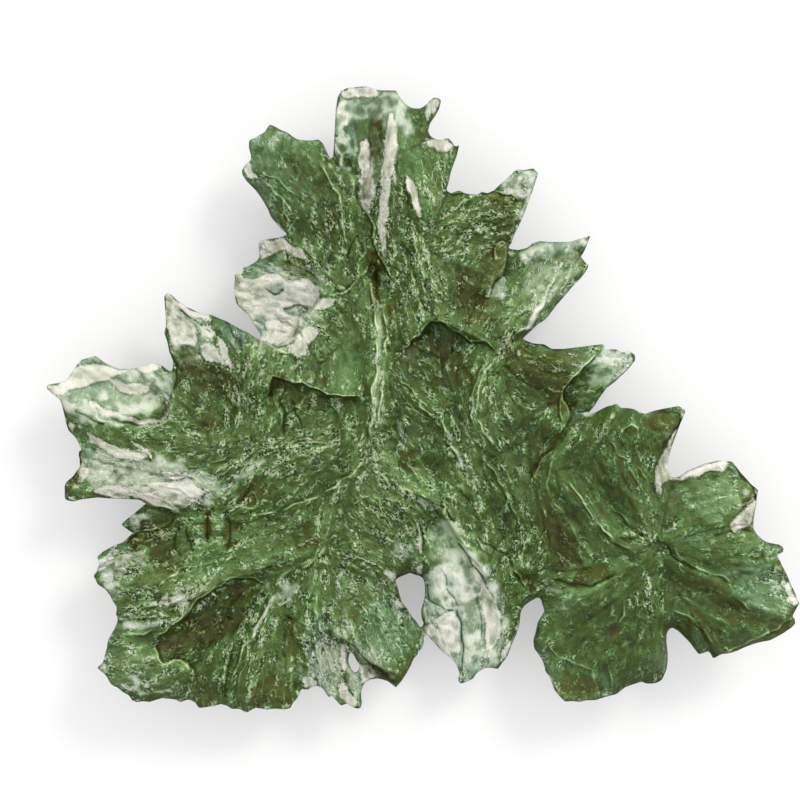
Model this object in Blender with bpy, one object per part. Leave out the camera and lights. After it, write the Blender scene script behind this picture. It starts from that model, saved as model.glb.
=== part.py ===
"""A leaf-shaped moldavite: one piece of natural green glass, etched into lobes, thin fins, ribs and hollows.

The stone lies on a few low lumps of its underside. X runs across its widest lobes, Y towards the top lobe and
+Z up, and the origin is at the centre of its bounding box, on the surface that it rests on.

Its plan is drawn in sketch units, x to the right and y down, as on a sheet of 800 by 800 units.
"""

import bmesh
import bpy
import numpy as np
from mathutils import Vector, geometry, noise

# Driving dimensions, in metres.
STONE_LENGTH = 0.056
BODY_THICKNESS = 0.0062
LOBE_THICKNESS = 0.0029
MID_HEIGHT = 0.0041
RIM_LIFT = 0.0013
LEAST_THICKNESS = 0.0007

# The sketch's scale: the plan is this many units long.
PLAN_LENGTH = 744
UNIT = STONE_LENGTH / PLAN_LENGTH
MM = 0.001

# How finely the faces follow the form, in sketch units.
TOP_SPACING = 14.5
UNDERSIDE_SPACING = 21
RIM_SPACING = 12
LEDGE_HALF_WIDTH = 1.8
FIN_SPACING = 16

BODY_CENTRE = (392, 432)
BODY_REACH = 150
LOBE_REACH = 300
RIM_SHARE = 0.24
RIM_GROWTH = 13

# The outline of the stone, lobe by lobe, clockwise from the left foot of the top lobe.
TOP_LOBE = [
    (333, 163), (334, 150), (335, 130), (336, 112), (338, 99), (341, 93), (347, 90), (356, 89), (365, 88), (373, 90),
    (379, 92), (388, 92), (396, 92), (400, 99), (405, 105), (411, 109), (418, 110), (424, 108), (429, 103), (432, 100),
    (436, 99), (441, 102), (439, 110), (435, 117), (430, 124), (428, 131), (430, 137), (435, 140), (441, 141),
    (448, 139), (452, 143), (455, 148), (459, 146), (457, 155), (453, 166), (450, 175), (449, 182), (446, 190),
]
UPPER_RIGHT_EDGE = [
    (450, 194), (455, 192), (460, 191), (465, 194), (471, 195), (478, 195), (482, 192), (487, 194), (493, 191),
    (500, 193), (511, 194), (515, 199), (522, 203), (520, 212), (515, 222), (510, 233), (507, 243), (508, 249),
]
RIGHT_FIN = [
    (513, 249), (518, 250), (527, 248), (533, 243), (540, 241), (550, 242), (560, 242), (570, 242), (576, 240),
    (583, 238), (590, 236), (588, 242), (583, 254), (580, 255), (584, 261), (589, 266), (585, 273), (580, 279),
    (574, 285), (569, 291), (563, 298), (556, 306), (550, 314), (545, 320), (538, 324), (533, 329), (522, 339),
]
SECOND_FIN = [
    (527, 341), (532, 343), (538, 344), (543, 344), (547, 346), (551, 349), (563, 349), (571, 348), (579, 347),
    (587, 346), (595, 345), (603, 344), (605, 346), (603, 351), (605, 357), (612, 358), (623, 359), (617, 370),
    (612, 379), (606, 389), (600, 397), (595, 405), (591, 410), (583, 417),
]
RIGHT_LOBE = [
    (590, 415), (597, 412), (602, 409), (608, 406), (614, 405), (616, 403), (620, 408), (628, 408), (633, 409),
    (638, 412), (645, 414), (655, 413), (668, 413), (676, 414), (681, 419), (677, 427), (672, 436), (667, 446),
    (664, 456), (664, 466), (667, 473), (673, 478), (680, 476), (686, 471), (695, 467), (705, 463), (718, 460),
    (724, 461), (730, 461), (737, 470), (742, 476), (748, 483), (755, 489), (754, 497), (753, 506), (751, 514),
    (750, 521), (750, 528), (753, 533), (758, 538), (764, 541), (775, 543), (779, 546), (778, 550), (772, 553),
    (776, 562), (779, 568), (782, 574), (785, 582), (788, 588), (793, 600), (789, 607), (786, 613), (789, 616),
    (789, 620), (784, 625), (778, 629), (770, 634), (764, 637), (757, 638), (750, 640), (742, 643), (734, 647),
    (726, 650), (718, 651), (710, 656), (706, 648), (700, 650), (696, 652), (692, 647), (687, 640), (681, 634),
    (676, 629), (669, 625), (666, 628), (664, 632),
]
LOWER_RIGHT_LOBE = [
    (664, 640), (665, 650), (665, 660), (664, 667), (660, 677), (655, 680), (650, 681), (643, 681), (640, 679),
    (634, 681), (628, 683), (623, 685), (618, 689), (614, 692), (608, 693), (602, 695), (594, 698), (586, 698),
    (578, 700), (570, 699), (564, 700), (559, 695), (554, 689), (551, 681), (549, 675), (545, 671), (544, 664),
    (541, 658), (537, 652), (534, 648), (533, 641), (536, 630), (538, 622), (542, 616), (545, 612), (543, 606),
    (541, 599),
]
MIDDLE_FIN = [
    (538, 597), (530, 601), (525, 605), (521, 610), (520, 618), (519, 627), (516, 635), (512, 644), (507, 657),
    (502, 663), (498, 669), (492, 668), (486, 668), (480, 671), (476, 674), (473, 679), (466, 682), (461, 684),
    (458, 681), (460, 674), (456, 664), (450, 658), (444, 654), (440, 650), (431, 640), (426, 634), (422, 629),
    (424, 624), (422, 620), (421, 612), (423, 605), (425, 597), (425, 588), (424, 580),
]
LOWER_LOBE = [
    (420, 576), (415, 575), (410, 573), (405, 575), (400, 577), (395, 580), (398, 589), (400, 597), (402, 603),
    (407, 609), (411, 616), (416, 622), (420, 628), (423, 635), (424, 642), (422, 650), (418, 651), (418, 655),
    (414, 658), (412, 663), (409, 669), (406, 674), (402, 680), (396, 687), (392, 684), (388, 681), (382, 679),
    (377, 678), (371, 679), (366, 681), (362, 687), (361, 695), (362, 702), (361, 707), (357, 708), (352, 706),
    (347, 702), (341, 705), (335, 698), (331, 694), (329, 697), (326, 692), (323, 687), (317, 685), (312, 686),
    (308, 689), (301, 688), (300, 693), (297, 698), (293, 702), (291, 707), (285, 708), (276, 707), (268, 708),
    (256, 706), (251, 709), (247, 711), (241, 707), (232, 707), (229, 704), (222, 702), (215, 704), (208, 705),
    (200, 706), (197, 700), (190, 697), (182, 700), (178, 697), (172, 696), (165, 695), (158, 697), (152, 699),
    (146, 698), (140, 699), (135, 697), (132, 692), (126, 689), (121, 684), (115, 682), (109, 672), (104, 668),
    (100, 665), (106, 660), (108, 652), (110, 645), (111, 637), (114, 632), (118, 625), (120, 618), (118, 613),
    (119, 606), (115, 600), (111, 593), (107, 588), (99, 583), (98, 579), (95, 575), (99, 570), (101, 562),
    (99, 556), (104, 551), (110, 548), (115, 545), (124, 542), (129, 537), (133, 533), (138, 530), (145, 529),
    (152, 528), (158, 524), (165, 522), (173, 520), (181, 514), (172, 511), (160, 508), (152, 506),
]
LEFT_LOBE = [
    (146, 503), (142, 500), (138, 499), (130, 499), (120, 498), (110, 498), (100, 497), (90, 498), (82, 499),
    (76, 501), (70, 500), (67, 498), (67, 490), (67, 484), (70, 480), (75, 476), (79, 470), (83, 465), (85, 460),
    (83, 455), (84, 450), (82, 444), (79, 438), (75, 434), (71, 430), (69, 424), (67, 415), (65, 407), (63, 400),
    (58, 396), (53, 392), (49, 388), (50, 385), (55, 384), (62, 383), (68, 381), (71, 377), (75, 371), (79, 365),
    (83, 360), (90, 358), (97, 356), (102, 360), (108, 364), (115, 367), (120, 369), (126, 369), (133, 369),
    (140, 367), (148, 365), (153, 363), (158, 364), (163, 366), (167, 370), (173, 372),
]
LEFT_MIDDLE_LOBE = [
    (174, 362), (170, 352), (168, 342), (165, 333), (167, 325), (166, 310), (165, 297), (167, 293), (171, 294),
    (176, 299), (182, 304), (189, 308), (196, 311), (202, 314), (212, 315), (218, 318), (226, 321), (233, 325),
    (240, 329), (247, 332), (254, 337), (259, 340),
]
LEFT_UPPER_FINS = [
    (261, 336), (256, 328), (252, 322), (250, 317), (246, 313), (241, 309), (237, 305), (235, 300), (234, 292),
    (234, 285), (235, 278), (234, 274), (238, 274), (243, 275), (243, 271), (242, 268), (248, 266), (254, 263),
    (258, 260), (260, 256), (259, 250), (259, 242), (265, 240), (272, 239), (280, 238), (286, 236), (290, 233),
]
UPPER_LEFT_LOBE = [
    (285, 232), (280, 228), (275, 222), (271, 217), (269, 211), (265, 204), (262, 199), (257, 192), (252, 187),
    (247, 182), (243, 176), (243, 172), (246, 167), (252, 162), (252, 157), (250, 150), (250, 143), (252, 141),
    (256, 140), (260, 137), (266, 134), (268, 130), (271, 126), (277, 129), (282, 132), (288, 134), (293, 138),
    (298, 141), (305, 142), (312, 142), (319, 141), (323, 144), (326, 150), (329, 157),
]
OUTLINE = (
    TOP_LOBE + UPPER_RIGHT_EDGE + RIGHT_FIN + SECOND_FIN + RIGHT_LOBE + LOWER_RIGHT_LOBE + MIDDLE_FIN
    + LOWER_LOBE + LEFT_LOBE + LEFT_MIDDLE_LOBE + LEFT_UPPER_FINS + UPPER_LEFT_LOBE
)
# A small opening etched right through the lower lobe.
THROUGH_HOLE = [(350, 650), (354, 655), (357, 661), (360, 664), (359, 670), (355, 674), (351, 669), (348, 661)]

# Ribs that stand up from the top face: (height in mm, half width in units, crest).
RIBS = [
    (0.75, 8, [(395, 105), (391, 135), (387, 165), (384, 195), (381, 225), (383, 250), (388, 272)]),
    (0.95, 9, [(375, 295), (378, 325), (378, 350), (376, 380), (374, 405), (369, 430), (358, 455), (345, 478)]),
    (0.70, 9, [(345, 478), (332, 505), (323, 528), (320, 548), (317, 572), (311, 598), (307, 620), (313, 645)]),
    (0.55, 8, [(369, 430), (382, 458), (398, 478), (412, 490)]),
    (0.60, 7, [(411, 228), (418, 255), (425, 280), (431, 300), (432, 318)]),
    (0.60, 7, [(407, 172), (411, 195), (417, 215), (425, 230)]),
    (0.55, 6, [(346, 104), (350, 130), (354, 158), (358, 182)]),
    (0.55, 7, [(434, 240), (455, 228), (480, 216), (508, 210)]),
    (0.70, 7, [(497, 350), (489, 366), (482, 380), (477, 395), (475, 410), (479, 425), (487, 440), (496, 455)]),
    (0.65, 8, [(496, 455), (507, 475), (518, 496), (526, 516), (528, 535), (522, 553)]),
    (0.80, 7, [(404, 380), (416, 396), (441, 415), (447, 432), (455, 452), (463, 470), (472, 495), (484, 520)]),
    (0.70, 6, [(500, 345), (512, 326), (522, 330), (532, 317), (539, 305), (548, 292), (560, 268)]),
    (0.50, 7, [(322, 160), (330, 180), (339, 198), (343, 217), (346, 238), (351, 262)]),
    (0.70, 9, [(88, 478), (120, 483), (158, 486), (195, 490), (216, 498), (240, 486), (266, 468), (292, 456), (325, 447)]),
    (0.50, 7, [(92, 425), (108, 440), (128, 451), (150, 458), (180, 462)]),
    (0.60, 7, [(276, 592), (268, 612), (261, 638), (253, 668), (247, 698)]),
    (0.60, 7, [(335, 545), (358, 557), (374, 561), (386, 571)]),
    (0.60, 8, [(128, 606), (160, 600), (190, 590), (216, 571), (250, 560), (288, 552), (318, 543)]),
    (0.50, 7, [(122, 622), (148, 624), (172, 613), (190, 600)]),
    (0.75, 8, [(655, 545), (628, 545), (603, 528), (585, 506), (567, 487), (553, 470)]),
    (0.60, 8, [(655, 545), (641, 516), (629, 486), (622, 460)]),
    (0.70, 8, [(655, 545), (682, 522), (715, 508), (746, 500)]),
    (0.70, 8, [(655, 545), (698, 545), (738, 544), (768, 545)]),
    (0.80, 8, [(655, 545), (690, 570), (732, 592), (780, 614)]),
    (0.75, 8, [(655, 545), (647, 582), (650, 612), (655, 642), (650, 670)]),
    (0.70, 8, [(655, 545), (617, 568), (586, 590), (556, 606)]),
    (0.55, 7, [(578, 424), (562, 446), (553, 470), (550, 492), (558, 516), (576, 545)]),
    (0.50, 6, [(455, 560), (462, 590), (464, 620), (462, 650)]),
    (0.45, 6, [(318, 645), (326, 668), (334, 690)]),
    (0.50, 7, [(268, 345), (258, 365), (250, 390), (246, 415)]),
    (0.50, 6, [(172, 300), (195, 322), (216, 345), (232, 372)]),
]

# Ledges, where one layer of the glass ends above the next:
# (rise in mm, how far it fades in units, edge). The higher side is on the right hand along the edge.
LEDGES = [
    (1.5, 34, [(336, 166), (345, 173), (357, 180), (356, 200), (363, 210), (374, 219)]),
    (1.5, 26, [(492, 347), (475, 340), (455, 331), (436, 322), (430, 321), (420, 335), (410, 346), (400, 350)]),
    (1.6, 32, [(505, 236), (507, 255), (505, 267), (501, 275), (494, 280), (489, 289), (490, 302)]),
    (1.4, 34, [(598, 353), (588, 366), (574, 379), (564, 386), (564, 402), (569, 415), (562, 428), (552, 447)]),
    (1.3, 34, [(499, 602), (489, 590), (486, 580), (478, 565), (468, 553), (456, 535), (446, 518), (430, 501), (410, 490)]),
    (0.9, 22, [(413, 510), (419, 535), (421, 558), (423, 572)]),
    (1.3, 30, [(285, 558), (250, 573), (225, 580), (212, 590), (198, 603), (185, 617), (172, 630), (158, 641)]),
    (0.8, 22, [(157, 642), (161, 650), (167, 657), (182, 657), (196, 664), (206, 672)]),
    (0.9, 22, [(72, 404), (95, 411), (110, 421), (138, 427), (158, 423), (171, 419), (172, 402), (177, 387), (175, 375)]),
    (1.1, 24, [(366, 398), (340, 398), (320, 394), (302, 387), (281, 377), (272, 386), (268, 404)]),
    (1.1, 22, [(262, 345), (280, 348), (298, 336), (299, 318), (311, 312), (323, 300), (320, 282), (308, 268)]),
    (0.9, 22, [(398, 676), (386, 669), (372, 661), (360, 652), (350, 642), (338, 633), (326, 628)]),
]

# Hollows of the top face, and the lumps and thin places of the glass, as round forms:
# (x, y, half length, half width, turn in degrees, depth or height in mm).
HOLLOWS = [
    (440, 366, 40, 28, 60, 1.6), (484, 282, 42, 20, 112, 1.3), (535, 388, 44, 24, 20, 1.5), (376, 277, 26, 9, 85, 1.2),
    (398, 308, 14, 11, 0, 0.8), (318, 416, 44, 18, 8, 1.2), (222, 408, 30, 24, 100, 0.9), (222, 618, 60, 26, 145, 1.3),
    (166, 562, 26, 16, 40, 0.9), (432, 468, 22, 15, 0, 0.8), (560, 535, 44, 22, 75, 0.9), (596, 490, 52, 13, 45, 0.6),
    (704, 595, 44, 14, 25, 0.6), (635, 435, 28, 18, 0, 0.6), (298, 176, 34, 20, 55, 0.8), (268, 690, 32, 14, 5, 0.5),
    (140, 398, 40, 17, 18, 0.9), (185, 332, 20, 13, 20, 0.8), (270, 310, 32, 20, 10, 0.9), (376, 145, 24, 9, 88, 0.8),
    (600, 640, 44, 26, 10, 0.7), (700, 500, 34, 14, 0, 0.5), (395, 530, 34, 22, 30, 0.7), (330, 500, 28, 14, 35, 0.6),
    (265, 520, 40, 14, 170, 0.7), (525, 580, 8, 6, 45, 1.0), (330, 350, 24, 38, 0, 0.8), (450, 440, 14, 30, 160, 0.5),
]
# The lobes' own rise and fall, which keeps them from lying in one plane.
SWELLS = [
    (290, 185, 60, 50, 0, 0.7), (380, 120, 50, 40, 0, -0.4), (110, 430, 70, 60, 0, 0.5), (250, 300, 40, 40, 0, -0.5),
    (460, 640, 46, 50, 0, -1.0), (600, 660, 60, 50, 0, 0.3), (740, 590, 70, 60, 0, 0.9), (720, 490, 40, 36, 0, -0.2),
    (560, 280, 46, 40, 0, -0.7), (600, 375, 36, 36, 0, -0.3), (150, 660, 60, 50, 0, 0.7), (370, 660, 60, 40, 0, -0.1),
    (640, 430, 46, 36, 0, 0.5), (195, 330, 40, 40, 0, 0.5),
]
# Where the glass is thicker (+) or thinner (-) than its neighbourhood.
THICKNESS_SPOTS = [
    (440, 366, 44, 34, 60, 1.7), (484, 282, 46, 24, 112, 2.2), (538, 390, 46, 30, 20, 2.0), (318, 416, 46, 22, 8, 0.9),
    (216, 412, 40, 32, 100, 1.6), (222, 622, 66, 32, 145, 1.8), (170, 560, 30, 22, 40, 1.5), (265, 690, 36, 22, 5, 2.0),
    (610, 640, 60, 44, 10, 1.6), (720, 618, 60, 22, 155, 1.2), (560, 535, 50, 30, 75, 1.4), (645, 425, 44, 22, 0, 1.8),
    (300, 190, 44, 30, 55, 1.1), (560, 358, 34, 14, 10, 1.4),
    (375, 112, 48, 34, 0, -1.3), (342, 145, 12, 50, 0, -1.4), (430, 118, 22, 30, 0, -1.5), (275, 305, 42, 34, 10, -2.0),
    (110, 388, 64, 26, 8, -1.5), (75, 385, 34, 20, 0, -1.2), (186, 326, 30, 24, 20, -1.4), (215, 348, 22, 16, 35, -1.0),
    (130, 482, 74, 22, 5, -1.3), (545, 255, 50, 20, 165, -1.8), (455, 635, 44, 56, 0, -1.6), (352, 680, 46, 34, 0, -1.4),
    (118, 560, 22, 26, 0, -1.2), (140, 616, 44, 18, 0, -0.9), (735, 525, 24, 20, 0, -1.3), (720, 470, 34, 14, 0, -1.2),
    (770, 580, 24, 44, 0, -1.0), (600, 378, 28, 26, 0, -0.9), (110, 672, 26, 30, 0, -0.8), (310, 680, 20, 18, 0, -1.0),
]
# Low lumps of the underside. The stone stands on the lowest four of them.
FEET = [
    (396, 442, 46, 42, 0, 2.6), (286, 512, 34, 28, 20, 3.5), (506, 512, 32, 28, 0, 3.6), (404, 306, 30, 34, 0, 3.3),
    (246, 392, 26, 24, 0, 3.2), (566, 428, 24, 26, 0, 3.2),
]

# Thin fins in a lower layer, which reach out from under the stone:
# (thickness in mm, how far below the stone's middle at the tip and at the root in mm, tip, root, outline).
LOWER_FINS = [
    (0.95, 1.6, 0.3, (536, 170), (488, 232), [
        (489, 193), (494, 190), (500, 184), (507, 178), (513, 172), (517, 168), (524, 169), (534, 167), (539, 172),
        (537, 178), (534, 188), (530, 198), (527, 207), (523, 217), (519, 226), (515, 233), (511, 244), (500, 256),
        (480, 250), (468, 228), (474, 206)]),
    (0.95, 1.5, 0.3, (636, 356), (575, 372), [
        (590, 352), (600, 349), (610, 349), (618, 349), (622, 352), (632, 351), (637, 355), (637, 360), (633, 365),
        (628, 371), (622, 376), (616, 382), (606, 389), (592, 397), (574, 396), (566, 374)]),
    (0.95, 1.5, 0.3, (684, 412), (645, 446), [
        (636, 418), (650, 412), (658, 410), (668, 408), (680, 406), (687, 411), (681, 424), (676, 436), (671, 448),
        (668, 458), (667, 468), (670, 474), (664, 486), (650, 486), (636, 460)]),
    (0.90, 1.4, 0.3, (122, 524), (186, 520), [
        (149, 500), (146, 503), (140, 508), (133, 514), (126, 519), (120, 525), (126, 530), (134, 535), (152, 546),
        (186, 548), (200, 524), (186, 496)]),
    (1.00, 1.5, 0.5, (70, 470), (150, 450), [
        (78, 452), (90, 444), (112, 436), (150, 430), (172, 450), (150, 478), (112, 484), (90, 488), (80, 474)]),
    (1.00, 1.7, 0.5, (560, 690), (606, 640), [
        (546, 650), (562, 642), (590, 628), (624, 640), (640, 664), (618, 680), (590, 690), (566, 692), (552, 674)]),
    (1.00, 1.8, 0.5, (770, 606), (700, 588), [
        (700, 560), (730, 556), (758, 566), (772, 584), (778, 604), (760, 624), (730, 634), (704, 620)]),
]

GLASS_COLOUR = (0.16, 0.30, 0.12, 1.0)
GLASS_ROUGHNESS = 0.25
GRAIN_HEIGHT = 0.22
GRAIN_LENGTH = 17
UNDERSIDE_LUMP = 0.55
UNDERSIDE_LUMP_LENGTH = 46


def clear_scene():
    for obj in list(bpy.data.objects):
        bpy.data.objects.remove(obj)


def segments_of(line, closed=False):
    """Starts and ends of a line's straight runs."""
    points = np.array(line, float)
    if closed:
        return points, np.roll(points, -1, axis=0)
    return points[:-1], points[1:]


def nearest_on(line, where, closed=False):
    """For each place: its distance from the line, the side it is on (+1 right hand, -1 left) and how far along it is."""
    starts, ends = segments_of(line, closed)
    lengths = np.linalg.norm(ends - starts, axis=1)
    travelled = np.concatenate([[0], np.cumsum(lengths)[:-1]])
    best = np.full(len(where), np.inf)
    side = np.ones(len(where))
    along = np.zeros(len(where))
    for start, end, length, before in zip(starts, ends, lengths, travelled):
        step = (end - start) / length
        offset = where - start
        t = np.clip(offset @ step, 0, length)
        distance = np.linalg.norm(offset - t[:, None] * step, axis=1)
        closer = distance < best - 1e-9
        cross = step[0] * offset[:, 1] - step[1] * offset[:, 0]
        best = np.where(closer, distance, best)
        side = np.where(closer, np.sign(cross), side)
        along = np.where(closer, (before + t) / lengths.sum(), along)
    return best, side, along


def inside(loop, where):
    """True for each place within the closed loop."""
    starts, ends = segments_of(loop, closed=True)
    x, y = where[:, 0], where[:, 1]
    found = np.zeros(len(where), bool)
    for (x0, y0), (x1, y1) in zip(starts, ends):
        crosses = (y0 > y) != (y1 > y)
        rise = (y1 - y0) if y1 != y0 else 1.0
        found ^= crosses & (x < (x1 - x0) * (y - y0) / rise + x0)
    return found


def resampled(line, spacing, closed=False):
    """The line with points added so that no run is longer than spacing."""
    starts, ends = segments_of(line, closed)
    points = []
    for start, end in zip(starts, ends):
        parts = max(1, round(np.linalg.norm(end - start) / spacing))
        points += [tuple(start + (end - start) * i / parts) for i in range(parts)]
    return points if closed else [*points, tuple(ends[-1])]


def offset_line(line, distance):
    """The open line moved sideways, to its right hand for a positive distance."""
    points = np.array(line, float)
    steps = np.gradient(points, axis=0)
    steps /= np.linalg.norm(steps, axis=1)[:, None]
    return points + distance * np.stack([-steps[:, 1], steps[:, 0]], axis=1)


def smooth_step(value):
    value = np.clip(value, 0, 1)
    return value * value * (3 - 2 * value)


def tapered(along, share=0.16):
    """1 along a line, easing to 0 at both its ends."""
    return smooth_step(along / share) * smooth_step((1 - along) / share)


def round_forms(forms, where):
    """The summed height of smooth round forms at each place, in mm."""
    total = np.zeros(len(where))
    for x, y, half_length, half_width, turn, height in forms:
        angle = np.radians(turn)
        offset = where - (x, y)
        u = (offset[:, 0] * np.cos(angle) + offset[:, 1] * np.sin(angle)) / half_length
        v = (offset[:, 1] * np.cos(angle) - offset[:, 0] * np.sin(angle)) / half_width
        total += height * np.exp(-(u * u + v * v))
    return total


def grain(where, length, level):
    """Smooth noise between about -1 and 1 with features of that length."""
    return np.array([noise.noise(Vector((x / length, y / length, level))) for x, y in where])


def rib_height(where):
    total = np.zeros(len(where))
    for height, half_width, crest in RIBS:
        distance, _, along = nearest_on(crest, where)
        total = np.maximum(total, height * np.exp(-distance / half_width) * tapered(along, 0.1))
    return total


def ledge_height(where):
    total = np.zeros(len(where))
    for rise, fade, edge in LEDGES:
        distance, side, along = nearest_on(edge, where)
        raised = np.where(side > 0, rise * np.exp(-distance / fade), -0.25 * rise * np.exp(-distance / (0.4 * fade)))
        total += raised * smooth_step(distance / LEDGE_HALF_WIDTH) * tapered(along)
    return total


def thickness_at(where):
    """The glass's thickness in mm, before the ribs and hollows of its top."""
    from_centre = np.linalg.norm(where - BODY_CENTRE, axis=1)
    body = (BODY_THICKNESS - LOBE_THICKNESS) / MM * np.exp(-((from_centre / BODY_REACH) ** 2))
    full = LOBE_THICKNESS / MM + body + round_forms(THICKNESS_SPOTS, where)
    rim, _, _ = nearest_on(OUTLINE, where, closed=True)
    hole, _, _ = nearest_on(THROUGH_HOLE, where, closed=True)
    share = RIM_SHARE + (1 - RIM_SHARE) * (1 - np.exp(-np.minimum(rim, hole) / RIM_GROWTH))
    return np.maximum(full * share, LEAST_THICKNESS / MM)


def middle_at(where):
    """The height of the glass's mid surface in mm."""
    from_centre = np.linalg.norm(where - BODY_CENTRE, axis=1) / LOBE_REACH
    return MID_HEIGHT / MM + RIM_LIFT / MM * from_centre**2 + round_forms(SWELLS, where)


def stone_faces(where):
    """The heights of the top and the underside at each place, in mm."""
    middle, thickness = middle_at(where), thickness_at(where)
    relief = rib_height(where) + ledge_height(where) - round_forms(HOLLOWS, where)
    relief += GRAIN_HEIGHT * grain(where, GRAIN_LENGTH, 0.3)
    rim, _, _ = nearest_on(OUTLINE, where, closed=True)
    relief *= 0.35 + 0.65 * smooth_step(rim / RIM_GROWTH)
    under = middle - thickness / 2 - round_forms(FEET, where)
    under += UNDERSIDE_LUMP * grain(where, UNDERSIDE_LUMP_LENGTH, 7.7) + GRAIN_HEIGHT * grain(where, GRAIN_LENGTH, 4.1)
    top = middle + thickness / 2 + relief
    lower = np.minimum(under, top - LEAST_THICKNESS / MM)
    return top, np.maximum(lower, 0)


def fin_faces(fin, where):
    """The heights of a lower fin's two faces at each place, in mm."""
    thickness, tip_drop, root_drop, tip, root, outline = fin
    reach = np.subtract(root, tip).astype(float)
    share = np.clip((where - tip) @ reach / (reach @ reach), 0, 1)
    middle = middle_at(where) - tip_drop + (tip_drop - root_drop) * share
    middle += GRAIN_HEIGHT * grain(where, GRAIN_LENGTH, 2.6)
    rim, _, _ = nearest_on(outline, where, closed=True)
    half = thickness / 2 * (0.7 + 0.3 * smooth_step(rim / 10))
    return middle + half, middle - half


def fill_points(loops, fixed, spacing):
    """Points of an even triangular grid inside the first loop, clear of the others and of the fixed points."""
    outer = np.array(loops[0], float)
    (left, low), (right, high) = outer.min(axis=0), outer.max(axis=0)
    rows = np.arange(low, high, spacing * 0.866)
    grid = np.array([
        (x + (spacing / 2 if row % 2 else 0), y) for row, y in enumerate(rows) for x in np.arange(left, right, spacing)
    ])
    keep = inside(loops[0], grid)
    for hole in loops[1:]:
        keep &= ~inside(hole, grid)
    grid = grid[keep]
    fixed = np.array(fixed)
    gaps = np.linalg.norm(grid[:, None] - fixed[None], axis=2).min(axis=1)
    return grid[gaps > 0.6 * spacing]


def triangulated(loops, lines, spacing):
    """Points and triangles that fill the first loop, less the holes, with the lines as edges."""
    points, edges = [], []
    for loop in loops:
        first = len(points)
        points += loop
        edges += [(first + i, first + (i + 1) % len(loop)) for i in range(len(loop))]
    for line in lines:
        run = np.array(resampled(line, spacing))
        rim = np.minimum.reduce([nearest_on(loop, run, closed=True)[0] for loop in loops])
        keep = (rim > 0.35 * spacing) & inside(loops[0], run)
        for i, ok in enumerate(keep):
            if ok:
                points.append(tuple(run[i]))
                if i and keep[i - 1]:
                    edges.append((len(points) - 2, len(points) - 1))
    points += [tuple(p) for p in fill_points(loops, points, spacing)]
    found = geometry.delaunay_2d_cdt([Vector(p) for p in points], edges, [], 0, 1e-4)
    places, faces = np.array([tuple(v) for v in found[0]]), np.array([list(f) for f in found[2]])
    corner, second, third = (places[faces[:, i]] for i in range(3))
    flat = np.abs(np.cross(second - corner, third - corner)) < 0.01
    centres = places[faces].mean(axis=1)
    keep = inside(loops[0], centres) & ~flat
    for hole in loops[1:]:
        keep &= ~inside(hole, centres)
    return places, faces[keep]


def solid_between(name, loops, lines, top_spacing, under_spacing, faces_at):
    """A closed solid with that plan, between the heights that faces_at gives for its top and underside."""
    mesh = bmesh.new()
    rims = []
    for lines_here, spacing, which in ((lines, top_spacing, 0), ([], under_spacing, 1)):
        places, triangles = triangulated(loops, lines_here, spacing)
        heights = faces_at(places)[which] * MM
        verts = [mesh.verts.new((x * UNIT, -y * UNIT, z)) for (x, y), z in zip(places, heights)]
        rims.append({(round(x, 3), round(y, 3)): v for (x, y), v in zip(places, verts)})
        for a, b, c in triangles:
            mesh.faces.new((verts[a], verts[b], verts[c]))
    for loop in loops:
        keys = [(round(x, 3), round(y, 3)) for x, y in loop]
        for here, there in zip(keys, [*keys[1:], keys[0]]):
            mesh.faces.new((rims[0][here], rims[0][there], rims[1][there], rims[1][here]))
    loose = [v for v in mesh.verts if not v.link_faces]
    bmesh.ops.delete(mesh, geom=loose, context="VERTS")
    bmesh.ops.recalc_face_normals(mesh, faces=mesh.faces)
    data = bpy.data.meshes.new(name)
    mesh.to_mesh(data)
    mesh.free()
    obj = bpy.data.objects.new(name, data)
    bpy.context.scene.collection.objects.link(obj)
    return obj


def make_stone():
    loops = [resampled(OUTLINE, RIM_SPACING, closed=True), THROUGH_HOLE]
    ledge_lines = [offset_line(edge, side * LEDGE_HALF_WIDTH) for _, _, edge in LEDGES for side in (-1, 1)]
    lines = [crest for _, _, crest in RIBS] + ledge_lines
    return solid_between("moldavite", loops, lines, TOP_SPACING, UNDERSIDE_SPACING, stone_faces)


def add_lower_fins(stone):
    for number, fin in enumerate(LOWER_FINS, 1):
        loops = [resampled(fin[-1], RIM_SPACING, closed=True)]
        piece = solid_between(
            f"lower_fin_{number}", loops, [], FIN_SPACING, FIN_SPACING, lambda where, fin=fin: fin_faces(fin, where)
        )
        piece.hide_render = True
        piece.display_type = "WIRE"
        joined = stone.modifiers.new(piece.name, "BOOLEAN")
        joined.operation = "UNION"
        joined.solver = "EXACT"
        joined.object = piece


def centre_stone(stone):
    """Moves the stone and its fins so that the finished solid is centred on the origin and rests on z = 0."""
    bpy.context.view_layer.update()
    shown = stone.evaluated_get(bpy.context.evaluated_depsgraph_get())
    corners = np.array([tuple(corner) for corner in shown.bound_box])
    low, high = corners.min(axis=0), corners.max(axis=0)
    shift = Vector((-(low[0] + high[0]) / 2, -(low[1] + high[1]) / 2, -low[2]))
    for obj in bpy.data.objects:
        obj.location = shift


def glass_material():
    material = bpy.data.materials.new("moldavite_glass")
    material.use_nodes = True
    shader = material.node_tree.nodes["Principled BSDF"]
    shader.inputs["Base Color"].default_value = GLASS_COLOUR
    shader.inputs["Roughness"].default_value = GLASS_ROUGHNESS
    shader.inputs["Metallic"].default_value = 0
    return material


def main():
    clear_scene()
    stone = make_stone()
    add_lower_fins(stone)
    centre_stone(stone)
    stone.data.materials.append(glass_material())


main()
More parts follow.
